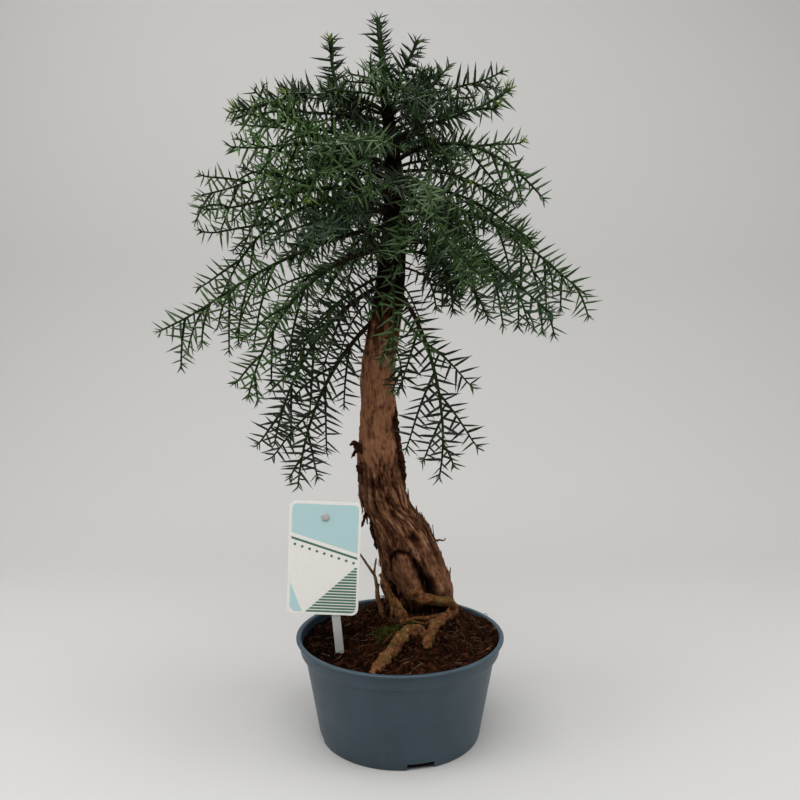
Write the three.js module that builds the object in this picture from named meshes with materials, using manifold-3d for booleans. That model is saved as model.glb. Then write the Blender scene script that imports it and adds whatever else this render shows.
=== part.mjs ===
// An araucaria bonsai in its nursery pot.
// A leaning trunk carries boughs that spread, arch over and hang, and each ends in a spray of stiff needles.
// The tree stands on a mounded root ball of peat in a moulded pot, with a plant label on a stick beside it.
// Millimetres, +Z up. The origin is the middle of the pot's underside, and the front faces -Y.

import * as THREE from 'three';
import { mergeVertices } from 'three/addons/utils/BufferGeometryUtils.js';
import Module from 'manifold-3d';

// Clearance between pieces that touch
const GAP = 0.3;

// Pot: a round tub whose collar steps out above a shoulder, with drain notches round its base
const POT_HEIGHT = 92.4;
const POT_WALL = 1.8;
const POT_SIDES = 36;
const POT_BASE_RADIUS = 73.4;
const POT_BASE_BEVEL = 2;
const POT_SHOULDER_RADIUS = 86.7;
const POT_SHOULDER_HEIGHT = 75;
const POT_COLLAR_RADIUS = 91;
const POT_COLLAR_HEIGHT = 79;
const POT_COLLAR_FLARE = 1;
const POT_LIP_RADIUS = 95;
const POT_LIP_DEPTH = 2;
const POT_LIP_LAND = 4;
const NOTCH_COUNT = 4;
const NOTCH_WIDTH = 24;
const NOTCH_HEIGHT = 6;
const NOTCH_HEADING = -76;

// Root ball: level with the pot's collar at the wall, and mounded under the trunk
const SOIL_PEAK = 106;
const SOIL_EDGE = 85;
const SOIL_RINGS = 4;
const MOUND_X = 15;
const MOUND_Y = 32;
const MOUND_PLATEAU = 31;

// Trunk: its middle line as x, y, height and radius, leaning left above the foot and then upright
const TRUNK_LINE = [
  [16, 34, 106, 29.5],
  [14, 32, 138, 28.5],
  [1.5, 27, 186, 26.5],
  [-14, 22, 212, 22.5],
  [-19, 17, 258, 18.8],
  [-20.5, 13, 300, 15.6],
  [-18.5, 8, 344, 15],
  [-8, 3, 416, 12.5],
  [-5, 0, 500, 8.4],
  [-17.5, 0, 612, 2.2],
];
const TRUNK_TIP = 572;
const TRUNK_SIDES = 16;
const TRUNK_RINGS = 26;
const TRUNK_RING_CROWDING = 1.15;
const FLARE_HEIGHT = 80;
const FLARE_LOBE_WIDTH = 32;
const FLARE_LOBES = [[205, 0.2], [262, 0.14], [342, 0.18], [60, 0.12], [130, 0.12]];

// Surface roots: a fork that leaves the trunk's right foot, as places on the soil with radii at both ends
const ROOT_STEM = [[42, 18], [36, -2], [29, -18], [23, -38]];
const ROOT_STEM_RADII = [8, 4];
const ROOT_BRANCH = [[33, -8], [18, -16], [-3, -31], [-18, -54], [-21, -66]];
const ROOT_BRANCH_RADII = [6, 3];
const ROOT_PROUD = 0.35;
const ROOT_SIDES = 7;
const ROOT_RING_PITCH = 10;

// Dead twig at the trunk's left foot, and its fork
const TWIG_LINE = [[-17, 10, 104], [-20, 9, 122], [-23, 8, 142], [-27, 8, 149], [-37, 8, 164]];
const TWIG_FORK = [[-24, 8, 144], [-23, 8, 153], [-22, 8, 160]];
const TWIG_RADII = [2, 0.9];
const TWIG_SIDES = 5;
const TWIG_RING_PITCH = 9;

// Boughs: height on the trunk, heading (0 right, 90 back, 180 left, 270 front), length,
// rise where they leave the trunk and at the tip, and the spray's roll about its stem, in degrees
const BOUGHS = {
  left_top: [540, 172, 108, 5, 100, 0],
  left_upper: [524, 194, 140, 18, 2, 30],
  left_front_upper: [510, 213, 152, 25, -24, 40],
  left_high: [500, 168, 190, 26, -30, 35],
  left_mid: [490, 192, 165, 11, -26, 30],
  left_arch: [474, 172, 202, 31, -74, 25],
  left_far: [462, 186, 226, -8, -42, 0],
  left_drop: [440, 206, 196, 2, -80, 55],
  left_low: [412, 203, 184, -16, -82, 60],
  left_hang: [388, 192, 182, -34, -86, 65],
  right_top: [564, 322, 58, 45, 56, 0],
  right_crest: [552, 338, 68, 36, 30, 0],
  right_upper: [530, 348, 112, 26, 14, 30],
  right_high: [514, 342, 152, 40, -62, 35],
  right_far: [480, 3, 198, 9, -54, 25],
  right_mid: [446, 345, 160, 10, -55, 0],
  right_low: [426, 334, 76, 0, -52, 0],
  right_hang: [412, 328, 186, -40, -98, 75],
  right_spur: [375, 300, 62, -40, -82, 0],
  front_hang: [428, 268, 118, -10, -86, 0],
  front_left: [519, 244, 132, 18, -30, 0],
  front_mid: [488, 279, 140, 16, -36, 0],
  front_right: [458, 312, 134, 8, -50, 0],
  front_low: [472, 219, 132, 5, -30, 0],
  crown_left: [554, 204, 98, 18, -6, 0],
  crown_front: [560, 262, 76, 30, -5, 0],
  crown_right: [544, 304, 86, 24, -10, 0],
  crown_back: [558, 70, 88, 28, -8, 0],
  back_upper: [528, 96, 140, 28, -25, 0],
  back_right: [472, 55, 172, 15, -48, 0],
  back_left: [488, 112, 180, 14, -48, 0],
  back_low: [430, 98, 165, 0, -68, 0],
  back_side: [444, 150, 170, 5, -55, 0],
};
const STEP = 8;
const BEND = 0.8;
const TIP_LIFT = 22;
const TIP_LIFT_FROM = 0.7;
const SWAY = 14;
const SWAY_TURNS = 0.75;

// Wooden part of a long bough, before its spray begins
const WOOD_FROM_LENGTH = 160;
const WOOD_LENGTH = 46;
const WOOD_RADII = [5, 3.4];
const WOOD_SIDES = 5;
const WOOD_RING_PITCH = 16;

// Spray: side shoots that leave the stem by turns, left and right
const STEM_RADII = [3.2, 1.6];
const SHOOT_RADII = [2.2, 1.4];
const SHOOT_FIRST = 34;
const SHOOT_PITCH = 31;
const SHOOT_JITTER = 8;
const SHOOT_LAST = 0.9;
const SHOOT_LONGEST = 95;
const SHOOT_SHARE = 0.55;
const SHOOT_EXTRA = 22;
const SHOOT_SIZES = [0.65, 1.25];
const SHOOT_SPREAD = [46, 62];
const SHOOT_DROOP = 24;
const SHOOT_DROOP_JITTER = 20;
const SHOOT_SHORTEST = 18;
const SHOOT_CLEAR = 2.5;

// Needles: whorls of stout points that rise from the faces of three-sided shoots
const WHORL_PITCH = 22;
const WHORL_FOOT = 4;
const WHORL_TURN = 20;
const NEEDLE_LENGTH = 21;
const NEEDLE_TILT = 58;
const NEEDLE_RADIUS = 1.5;
const NEEDLE_CLEAR = 1;
const LEADER_TOP = [-19, 0, 633];
const LEADER_RADII = [2.8, 1.4];

// Plant label: a card that hangs on a peg near the top of a flat stick
const CARD_WIDTH = 62;
const CARD_HEIGHT = 100;
const CARD_THICKNESS = 1;
const CARD_CORNER = 6;
const CARD_CORNER_STEPS = 4;
const CARD_TILT = 2.3;
const STICK_WIDTH = 7.5;
const STICK_THICKNESS = 1.2;
const STICK_LENGTH = 158;
const STICK_TILT = -5.4;
const PEG = [-64.3, -38, 209.7];
const PEG_RADIUS = 2.2;
const PEG_SIDES = 12;
const PEG_FROM_CARD_TOP = 13.5;
const PEG_FROM_STICK_TOP = 6;

const wasm = await Module();
wasm.setup();

const rad = THREE.MathUtils.degToRad;
const clamp = THREE.MathUtils.clamp;

// A repeatable number from 0 to 1 for each set of whole numbers
function rand(i, j = 0, k = 0) {
  const value = Math.sin(i * 12.9898 + j * 78.233 + k * 37.719) * 43758.5453;
  return value - Math.floor(value);
}

function smooth(from, to, x) {
  const t = clamp((x - from) / (to - from), 0, 1);
  return t * t * (3 - 2 * t);
}

// Unit vector of a heading and a rise in degrees
function aim(heading, rise) {
  const level = Math.cos(rad(rise));
  const x = level * Math.cos(rad(heading));
  const y = level * Math.sin(rad(heading));
  return new THREE.Vector3(x, y, Math.sin(rad(rise)));
}

function vectors(rows) {
  return rows.map((row) => new THREE.Vector3(...row));
}

// Solids from meshes, and meshes from solids

function solidOf(points, triangles) {
  const vertProperties = new Float32Array(points.flatMap((point) => point.toArray()));
  const triVerts = new Uint32Array(triangles.flat());
  return new wasm.Manifold(new wasm.Mesh({ numProp: 3, vertProperties, triVerts }));
}

function solidOfGeometry(geometry, matrix = new THREE.Matrix4()) {
  const loose = geometry.index ? geometry.toNonIndexed() : geometry;
  const bare = new THREE.BufferGeometry();
  bare.setAttribute('position', loose.getAttribute('position'));
  const merged = mergeVertices(bare.applyMatrix4(matrix), 1e-3);
  const vertProperties = merged.getAttribute('position').array;
  const triVerts = new Uint32Array(merged.index.array);
  return new wasm.Manifold(new wasm.Mesh({ numProp: 3, vertProperties, triVerts }));
}

// The largest body of a cut solid: loose scraps are dropped
function largest(solid) {
  const bodies = solid.decompose();
  return bodies.reduce((best, body) => (body.volume() > best.volume() ? body : best));
}

function meshOf(name, solid, material) {
  const { vertProperties, triVerts } = solid.getMesh();
  const geometry = new THREE.BufferGeometry();
  geometry.setAttribute('position', new THREE.BufferAttribute(vertProperties, 3));
  geometry.setIndex(new THREE.BufferAttribute(triVerts, 1));
  geometry.computeVertexNormals();
  const mesh = new THREE.Mesh(geometry, material);
  mesh.name = name;
  return mesh;
}

// A closed loft through rings of equal count, with a fan at each end
function loft(rings) {
  const sides = rings[0].length;
  const points = rings.flat();
  const triangles = [];
  const last = (rings.length - 1) * sides;
  for (let i = 0; i < last; i++) {
    const next = i % sides === sides - 1 ? i + 1 - sides : i + 1;
    triangles.push([i, next, next + sides], [i, next + sides, i + sides]);
  }
  for (let k = 1; k < sides - 1; k++) {
    triangles.push([0, k + 1, k], [last, last + k, last + k + 1]);
  }
  return solidOf(points, triangles);
}

// Centre, tangent and two cross directions at each distance along a curve, carried on without twist
function framesAlong(curve, distances) {
  const length = curve.getLength();
  let across = new THREE.Vector3(1, 3, 0.5);
  return distances.map((distance) => {
    const u = clamp(distance / length, 0, 1);
    const tangent = curve.getTangentAt(u);
    across = across.clone().addScaledVector(tangent, -across.dot(tangent)).normalize();
    const over = tangent.clone().cross(across);
    return { centre: curve.getPointAt(u), tangent, across, over };
  });
}

function ringPoint(frame, radius, angle) {
  return frame.centre.clone()
    .addScaledVector(frame.across, radius * Math.cos(angle))
    .addScaledVector(frame.over, radius * Math.sin(angle));
}

// A tapering round limb along a curve, from one distance to another
function limb(curve, from, to, radii, sides, pitch) {
  const count = Math.max(2, Math.round((to - from) / pitch));
  const distances = Array.from({ length: count + 1 }, (_, i) => from + ((to - from) * i) / count);
  const rings = framesAlong(curve, distances).map((frame, i) => {
    const radius = THREE.MathUtils.lerp(radii[0], radii[1], i / count);
    return Array.from({ length: sides }, (_, k) => ringPoint(frame, radius, (2 * Math.PI * k) / sides));
  });
  return loft(rings);
}

// Pot

function potSolid() {
  const collarTop = POT_COLLAR_RADIUS + POT_COLLAR_FLARE;
  const lipFoot = POT_HEIGHT - POT_LIP_DEPTH;
  const outline = [
    [0, 0],
    [POT_BASE_RADIUS - POT_BASE_BEVEL, 0],
    [POT_BASE_RADIUS, POT_BASE_BEVEL],
    [POT_SHOULDER_RADIUS, POT_SHOULDER_HEIGHT],
    [POT_COLLAR_RADIUS - POT_WALL, POT_COLLAR_HEIGHT - POT_WALL],
    [POT_COLLAR_RADIUS, POT_COLLAR_HEIGHT],
    [collarTop, lipFoot],
    [POT_LIP_RADIUS, lipFoot],
    [POT_LIP_RADIUS, POT_HEIGHT - POT_WALL / 2],
    [POT_LIP_RADIUS - POT_WALL / 2, POT_HEIGHT],
    [POT_LIP_RADIUS - POT_LIP_LAND, POT_HEIGHT],
    [collarTop - POT_WALL, lipFoot],
    [POT_COLLAR_RADIUS - POT_WALL, POT_COLLAR_HEIGHT],
    [POT_SHOULDER_RADIUS - POT_WALL, POT_SHOULDER_HEIGHT],
    [POT_BASE_RADIUS - POT_WALL, POT_WALL],
    [0, POT_WALL],
  ];
  const profile = outline.map(([radius, height]) => new THREE.Vector2(radius, height));
  const upright = new THREE.Matrix4().makeRotationX(Math.PI / 2);
  let pot = solidOfGeometry(new THREE.LatheGeometry(profile, POT_SIDES), upright);
  for (let i = 0; i < NOTCH_COUNT; i++) {
    const turn = new THREE.Matrix4().makeRotationZ(rad(NOTCH_HEADING + (360 / NOTCH_COUNT) * i));
    const place = new THREE.Matrix4().makeTranslation(POT_BASE_RADIUS, 0, 0);
    const notch = new THREE.BoxGeometry(4 * POT_BASE_BEVEL, NOTCH_WIDTH, 2 * NOTCH_HEIGHT);
    pot = pot.subtract(solidOfGeometry(notch, turn.multiply(place)));
  }
  return pot;
}

// Root ball

const SOIL_WALL_RADIUS = POT_COLLAR_RADIUS - POT_WALL - GAP;

// Distance from the mound's middle to the pot's wall in a direction of the plan
function wallDistance(x, y) {
  const along = MOUND_X * x + MOUND_Y * y;
  return Math.sqrt(along ** 2 + SOIL_WALL_RADIUS ** 2 - MOUND_X ** 2 - MOUND_Y ** 2) - along;
}

function soilHeight(x, y) {
  const reach = Math.hypot(x - MOUND_X, y - MOUND_Y);
  const wall = wallDistance((x - MOUND_X) / reach, (y - MOUND_Y) / reach);
  return SOIL_PEAK - (SOIL_PEAK - SOIL_EDGE) * smooth(MOUND_PLATEAU, wall, reach);
}

function soilSolid(raised = 0) {
  const wallRing = (radius, height) => Array.from({ length: POT_SIDES }, (_, i) => {
    const angle = (2 * Math.PI * i) / POT_SIDES;
    return new THREE.Vector3(radius * Math.sin(angle), -radius * Math.cos(angle), height);
  });
  const shoulder = POT_SHOULDER_RADIUS - POT_WALL - GAP;
  const rings = [
    wallRing(POT_BASE_RADIUS - POT_WALL - GAP, POT_WALL + GAP),
    wallRing(shoulder, POT_SHOULDER_HEIGHT),
    wallRing(SOIL_WALL_RADIUS, POT_COLLAR_HEIGHT + GAP),
  ];
  const edge = wallRing(SOIL_WALL_RADIUS, SOIL_EDGE + raised);
  for (let i = 0; i <= SOIL_RINGS; i++) {
    rings.push(edge.map((point) => {
      const wall = Math.hypot(point.x - MOUND_X, point.y - MOUND_Y);
      const share = THREE.MathUtils.lerp(1, MOUND_PLATEAU / wall, i / SOIL_RINGS);
      const x = THREE.MathUtils.lerp(MOUND_X, point.x, share);
      const y = THREE.MathUtils.lerp(MOUND_Y, point.y, share);
      return new THREE.Vector3(x, y, soilHeight(x, y) + raised);
    }));
  }
  return loft(rings);
}

// Trunk

const trunkCurve = new THREE.CatmullRomCurve3(
  vectors(TRUNK_LINE.map((row) => row.slice(0, 3))), false, 'catmullrom', 0.5);
const trunkTaper = new THREE.CatmullRomCurve3(
  vectors(TRUNK_LINE.map((row) => [row[3], 0, 0])), false, 'catmullrom', 0.5);

function trunkAt(height) {
  let low = 0;
  let high = 1;
  for (let i = 0; i < 40; i++) {
    const middle = (low + high) / 2;
    if (trunkCurve.getPoint(middle).z < height) low = middle;
    else high = middle;
  }
  return { point: trunkCurve.getPoint(low), radius: trunkTaper.getPoint(low).x };
}

// The swell of the root flare at a heading and height, as a share of the radius
function flare(heading, height) {
  const fade = 1 - smooth(SOIL_PEAK, SOIL_PEAK + FLARE_HEIGHT, height);
  return fade * FLARE_LOBES.reduce((sum, [lobe, swell]) => {
    const off = THREE.MathUtils.euclideanModulo(heading - lobe + 180, 360) - 180;
    return sum + swell * Math.exp(-((off / FLARE_LOBE_WIDTH) ** 2));
  }, 0);
}

function trunkSolid(clearance = 0) {
  const foot = SOIL_PEAK + GAP;
  const rings = [];
  for (let i = 0; i <= TRUNK_RINGS; i++) {
    const height = THREE.MathUtils.lerp(foot, TRUNK_TIP, (i / TRUNK_RINGS) ** TRUNK_RING_CROWDING);
    const { point, radius } = trunkAt(height);
    rings.push(Array.from({ length: TRUNK_SIDES }, (_, k) => {
      const heading = (360 * k) / TRUNK_SIDES;
      const reach = radius * (1 + flare(heading, height)) + clearance;
      return aim(heading, 0).multiplyScalar(reach).add(point);
    }));
  }
  return loft(rings);
}

function onSoil(places, radius) {
  const rows = places.map(([x, y]) => [x, y, soilHeight(x, y) + radius * ROOT_PROUD]);
  return new THREE.CatmullRomCurve3(vectors(rows));
}

function rootSolid(trunkClear) {
  const stem = onSoil(ROOT_STEM, ROOT_STEM_RADII[0]);
  const branch = onSoil(ROOT_BRANCH, ROOT_BRANCH_RADII[0]);
  const fork = limb(stem, 0, stem.getLength(), ROOT_STEM_RADII, ROOT_SIDES, ROOT_RING_PITCH)
    .add(limb(branch, 0, branch.getLength(), ROOT_BRANCH_RADII, ROOT_SIDES, ROOT_RING_PITCH));
  return largest(fork.subtract(trunkClear).subtract(soilSolid(GAP)));
}

function deadTwigSolid(trunkClear) {
  const line = new THREE.CatmullRomCurve3(vectors(TWIG_LINE));
  const fork = new THREE.CatmullRomCurve3(vectors(TWIG_FORK));
  const tipRadii = [TWIG_RADII[1], TWIG_RADII[1]];
  const twig = limb(line, 0, line.getLength(), TWIG_RADII, TWIG_SIDES, TWIG_RING_PITCH)
    .add(limb(fork, 0, fork.getLength(), tipRadii, TWIG_SIDES, TWIG_RING_PITCH));
  return largest(twig.subtract(trunkClear).subtract(soilSolid(GAP)));
}

// Growth of boughs and shoots

// A shoot's curve: it leaves at one rise, bends to another, and lifts again at its tip
function shootCurve(start, heading, length, rise, fall, sway) {
  const steps = Math.max(3, Math.round(length / STEP));
  const points = [start.clone()];
  for (let i = 0; i < steps; i++) {
    const share = (i + 0.5) / steps;
    const lift = TIP_LIFT * Math.cos(rad(fall)) * smooth(TIP_LIFT_FROM, 1, share);
    const bend = rise + (fall - rise) * share ** BEND + lift;
    const turn = heading + sway * Math.sin(2 * Math.PI * SWAY_TURNS * share);
    points.push(points[i].clone().addScaledVector(aim(turn, bend), length / steps));
  }
  return new THREE.CatmullRomCurve3(points);
}

function boughCurve(row, seed) {
  const [height, heading, length, rise, fall] = row;
  return shootCurve(trunkAt(height).point, heading, length, rise, fall, SWAY * (2 * rand(seed, 1) - 1));
}

// Side shoots of one stem, by turns to its left and right, shorter towards its tip
function sideCurves(stem, row, seed) {
  const [, heading, length, , , roll] = row;
  const level = aim(heading + 90, 0);
  const curves = [];
  const count = (SHOOT_LAST * length - SHOOT_FIRST) / SHOOT_PITCH;
  for (let k = 0; k < count; k++) {
    const along = SHOOT_FIRST + k * SHOOT_PITCH + SHOOT_JITTER * (rand(seed, k, 2) - 0.5);
    const share = along / length;
    const axis = stem.getTangentAt(share);
    const side = level.clone().applyAxisAngle(axis, rad(roll)).multiplyScalar(k % 2 ? 1 : -1);
    const spread = rad(THREE.MathUtils.lerp(...SHOOT_SPREAD, rand(seed, k, 4)));
    const out = axis.multiplyScalar(Math.cos(spread)).addScaledVector(side, Math.sin(spread)).normalize();
    const full = Math.min(SHOOT_LONGEST, SHOOT_SHARE * (length - along) + SHOOT_EXTRA);
    const size = full * THREE.MathUtils.lerp(...SHOOT_SIZES, rand(seed, k, 3));
    const turn = THREE.MathUtils.radToDeg(Math.atan2(out.y, out.x));
    const rise = THREE.MathUtils.radToDeg(Math.asin(out.z));
    const droop = SHOOT_DROOP * Math.cos(rad(rise)) - SHOOT_DROOP_JITTER * (rand(seed, k, 6) - 0.5);
    const curve = shootCurve(stem.getPointAt(share), turn, size, rise, rise - droop, 0);
    curves.push({ along, size, curve });
  }
  return curves;
}

// Stretches of limb and needle that are already placed, each with its radius and its owner
const placed = [];

// Shortest distance between two straight stretches
function apart(a, b) {
  const w = a.start.clone().sub(b.start);
  const across = a.square * b.square - a.run.dot(b.run) ** 2;
  const first = (a.run.dot(b.run) * b.run.dot(w) - b.square * a.run.dot(w)) / Math.max(across, 1e-6);
  const t = clamp((a.run.dot(b.run) * clamp(first, 0, 1) + b.run.dot(w)) / b.square, 0, 1);
  const s = clamp((a.run.dot(b.run) * t - a.run.dot(w)) / a.square, 0, 1);
  return w.addScaledVector(a.run, s).addScaledVector(b.run, -t).length();
}

function stretch(start, end, radius, owner, shoot) {
  const run = end.clone().sub(start);
  const middle = start.clone().addScaledVector(run, 0.5);
  return { start, run, square: run.lengthSq(), middle, half: run.length() / 2, radius, owner, shoot };
}

// Whether a stretch is clear of all others, apart from those of the same owner or the same shoot
function fits(piece, clearance, kin) {
  return placed.every((other) => {
    const reach = piece.radius + other.radius + clearance;
    if (other[kin] === piece[kin]) return true;
    if (other.middle.distanceTo(piece.middle) > reach + other.half + piece.half) return true;
    return apart(piece, other) > reach;
  });
}

function stretchesOf(curve, from, to, radius, owner) {
  const count = Math.max(1, Math.round((to - from) / STEP));
  const length = curve.getLength();
  const at = (i) => curve.getPointAt(clamp((from + ((to - from) * i) / count) / length, 0, 1));
  return Array.from({ length: count }, (_, i) => stretch(at(i), at(i + 1), radius, owner, curve));
}

// The length of a side shoot that stays clear of every other limb
function clearLength(curve, size, owner) {
  const pieces = stretchesOf(curve, 0, size, SHOOT_RADII[0], owner);
  const blocked = pieces.findIndex((piece) => !fits(piece, SHOOT_CLEAR, 'owner'));
  return blocked < 0 ? size : (size * blocked) / pieces.length;
}

// A three-sided shoot with whorls of needles: rings come in pairs, each turned by half a side,
// and every face between the two rings of a pair is drawn out to a point where there is room
function needledShoot(curve, from, to, radii, bare, owner) {
  const distances = [from];
  for (let d = from + bare; d < to - WHORL_FOOT; d += WHORL_PITCH) distances.push(d, d + WHORL_FOOT);
  const frames = framesAlong(curve, distances);
  const points = [];
  const triangles = [[0, 2, 1]];
  let turn = 0;
  frames.forEach((frame, ring) => {
    const radius = THREE.MathUtils.mapLinear(distances[ring], from, to, radii[0], radii[1]);
    turn += ring % 2 ? rad(60 + WHORL_TURN) : rad(60);
    for (let k = 0; k < 3; k++) points.push(ringPoint(frame, radius, turn + (2 * Math.PI * k) / 3));
  });
  const tips = [];
  for (let ring = 0; ring < frames.length - 1; ring++) {
    for (let k = 0; k < 3; k++) {
      const a = 3 * ring + k;
      const b = 3 * ring + ((k + 1) % 3);
      const faces = [[a, b, a + 3], [b, b + 3, a + 3]];
      for (const face of faces) {
        const tip = ring % 2 ? needleTip(face.map((i) => points[i]), frames[ring], owner, curve) : null;
        if (tip) tips.push({ face, tip });
        else triangles.push(face);
      }
    }
  }
  const end = points.length - 3;
  tips.push({ face: [end, end + 1, end + 2], tip: curve.getPointAt(clamp(to / curve.getLength(), 0, 1)) });
  for (const { face, tip } of tips) {
    const i = points.push(tip) - 1;
    face.forEach((corner, k) => triangles.push([corner, face[(k + 1) % 3], i]));
  }
  return solidOf(points, triangles);
}

// A needle's point above a face of its shoot, or null where something else is in the way
function needleTip(corners, frame, owner, curve) {
  const foot = corners[0].clone().add(corners[1]).add(corners[2]).divideScalar(3);
  const out = foot.clone().sub(frame.centre);
  out.addScaledVector(frame.tangent, -out.dot(frame.tangent)).normalize();
  const run = out.multiplyScalar(Math.sin(rad(NEEDLE_TILT)))
    .addScaledVector(frame.tangent, Math.cos(rad(NEEDLE_TILT)));
  const tip = foot.clone().addScaledVector(run, NEEDLE_LENGTH);
  const needle = stretch(foot, tip, NEEDLE_RADIUS, owner, curve);
  if (!fits(needle, NEEDLE_CLEAR, 'shoot')) return null;
  placed.push(needle);
  return tip;
}

// Plant label

function stickMatrix() {
  const turn = new THREE.Matrix4().makeRotationY(rad(STICK_TILT));
  return turn.setPosition(PEG[0], PEG[1] + CARD_THICKNESS + GAP + STICK_THICKNESS / 2, PEG[2]);
}

function stickSolid(clearance = 0) {
  const side = 2 * clearance;
  const plate = new THREE.BoxGeometry(STICK_WIDTH + side, STICK_THICKNESS + side, STICK_LENGTH + side);
  plate.translate(0, 0, PEG_FROM_STICK_TOP - STICK_LENGTH / 2);
  return solidOfGeometry(plate, stickMatrix());
}

function pegSolid() {
  const length = STICK_THICKNESS + GAP + 2 * CARD_THICKNESS;
  const peg = new THREE.CylinderGeometry(PEG_RADIUS, PEG_RADIUS, length, PEG_SIDES);
  peg.translate(0, (STICK_THICKNESS - length) / 2, 0);
  return solidOfGeometry(peg, stickMatrix());
}

function cardSolid() {
  const half = CARD_WIDTH / 2;
  const top = PEG_FROM_CARD_TOP;
  const foot = top - CARD_HEIGHT;
  const turn = half - CARD_CORNER;
  const outline = new THREE.Shape();
  outline.absarc(turn, top - CARD_CORNER, CARD_CORNER, 0, Math.PI / 2);
  outline.absarc(-turn, top - CARD_CORNER, CARD_CORNER, Math.PI / 2, Math.PI);
  outline.absarc(-turn, foot + CARD_CORNER, CARD_CORNER, Math.PI, 1.5 * Math.PI);
  outline.absarc(turn, foot + CARD_CORNER, CARD_CORNER, 1.5 * Math.PI, 2 * Math.PI);
  const hole = new THREE.Path();
  hole.absarc(0, 0, PEG_RADIUS + GAP, 0, 2 * Math.PI);
  outline.holes.push(hole);
  const sheet = { depth: CARD_THICKNESS, bevelEnabled: false, curveSegments: CARD_CORNER_STEPS };
  const card = new THREE.ExtrudeGeometry(outline, sheet);
  const upright = new THREE.Matrix4().makeRotationY(rad(CARD_TILT));
  upright.multiply(new THREE.Matrix4().makeRotationX(Math.PI / 2));
  return solidOfGeometry(card, upright.setPosition(PEG[0], PEG[1] + CARD_THICKNESS, PEG[2]));
}

// Materials

function finish(color, roughness) {
  return new THREE.MeshStandardMaterial({ color, roughness, metalness: 0 });
}

const potPlastic = finish(0x48575f, 0.55);
const peat = finish(0x2a1b12, 0.95);
const bark = finish(0x5c3f2b, 0.9);
const deadWood = finish(0x6b5238, 0.9);
const boughBark = finish(0x4e4029, 0.85);
const needleGreen = finish(0x31502f, 0.5);
const labelCard = finish(0xd5dedb, 0.4);
const clearStick = finish(0xd3d9d9, 0.3);

// The plant put together

const bonsai = new THREE.Group();
const trunkClear = trunkSolid(GAP);
const stick = stickSolid();
bonsai.add(meshOf('pot', potSolid(), potPlastic));
bonsai.add(meshOf('soil', soilSolid().subtract(stickSolid(GAP)), peat));
bonsai.add(meshOf('trunk', trunkSolid(), bark));
bonsai.add(meshOf('surface_root', rootSolid(trunkClear), bark));
bonsai.add(meshOf('dead_twig', deadTwigSolid(trunkClear), deadWood));
bonsai.add(meshOf('label_card', cardSolid(), labelCard));
bonsai.add(meshOf('label_stick', stick.add(pegSolid()), clearStick));

for (let height = SOIL_PEAK; height < TRUNK_TIP - STEP; height += STEP) {
  const low = trunkAt(height);
  const high = trunkAt(height + STEP);
  placed.push(stretch(low.point, high.point, low.radius, 'trunk', trunkCurve));
}

const sprays = Object.entries(BOUGHS).map(([name, row], seed) => {
  const curve = boughCurve(row, seed);
  const length = curve.getLength();
  const wooden = row[2] >= WOOD_FROM_LENGTH;
  const from = wooden ? WOOD_LENGTH + GAP : 0;
  const clearOfTrunk = trunkAt(row[0]).radius + 2 * STEM_RADII[0];
  if (wooden) {
    const wood = limb(curve, 0, WOOD_LENGTH, WOOD_RADII, WOOD_SIDES, WOOD_RING_PITCH);
    bonsai.add(meshOf('bough_' + name, largest(wood.subtract(trunkClear)), boughBark));
    placed.push(...stretchesOf(curve, clearOfTrunk, WOOD_LENGTH, WOOD_RADII[0], 'bough_' + name));
  }
  placed.push(...stretchesOf(curve, Math.max(from, clearOfTrunk), length, STEM_RADII[0], name));
  return { name, row, seed, curve, length, from, bare: wooden ? STEP : clearOfTrunk };
});

for (const spray of sprays) {
  spray.sides = [];
  for (const { along, size, curve } of sideCurves(spray.curve, spray.row, spray.seed)) {
    const room = along > spray.from + spray.bare ? clearLength(curve, size, spray.name) : 0;
    if (room < SHOOT_SHORTEST) continue;
    placed.push(...stretchesOf(curve, 0, room, SHOOT_RADII[0], spray.name));
    spray.sides.push({ curve, room });
  }
}

for (const { name, curve, length, from, bare, sides } of sprays) {
  const shoots = [needledShoot(curve, from, length, STEM_RADII, bare, name)];
  for (const side of sides) {
    shoots.push(needledShoot(side.curve, 0, side.room, SHOOT_RADII, STEP, name));
  }
  const spray = wasm.Manifold.union(shoots).subtract(trunkClear);
  bonsai.add(meshOf('spray_' + name, largest(spray), needleGreen));
}

const leaderFoot = trunkAt(TRUNK_TIP).point;
const leaderCurve = new THREE.CatmullRomCurve3([leaderFoot, new THREE.Vector3(...LEADER_TOP)]);
const leader = needledShoot(leaderCurve, GAP, leaderCurve.getLength(), LEADER_RADII, STEP, 'leader');
bonsai.add(meshOf('spray_leader', leader, needleGreen));

export default bonsai;
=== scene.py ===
"""An araucaria bonsai in its nursery pot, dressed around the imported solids. Sizes are in millimetres."""

import math

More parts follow.
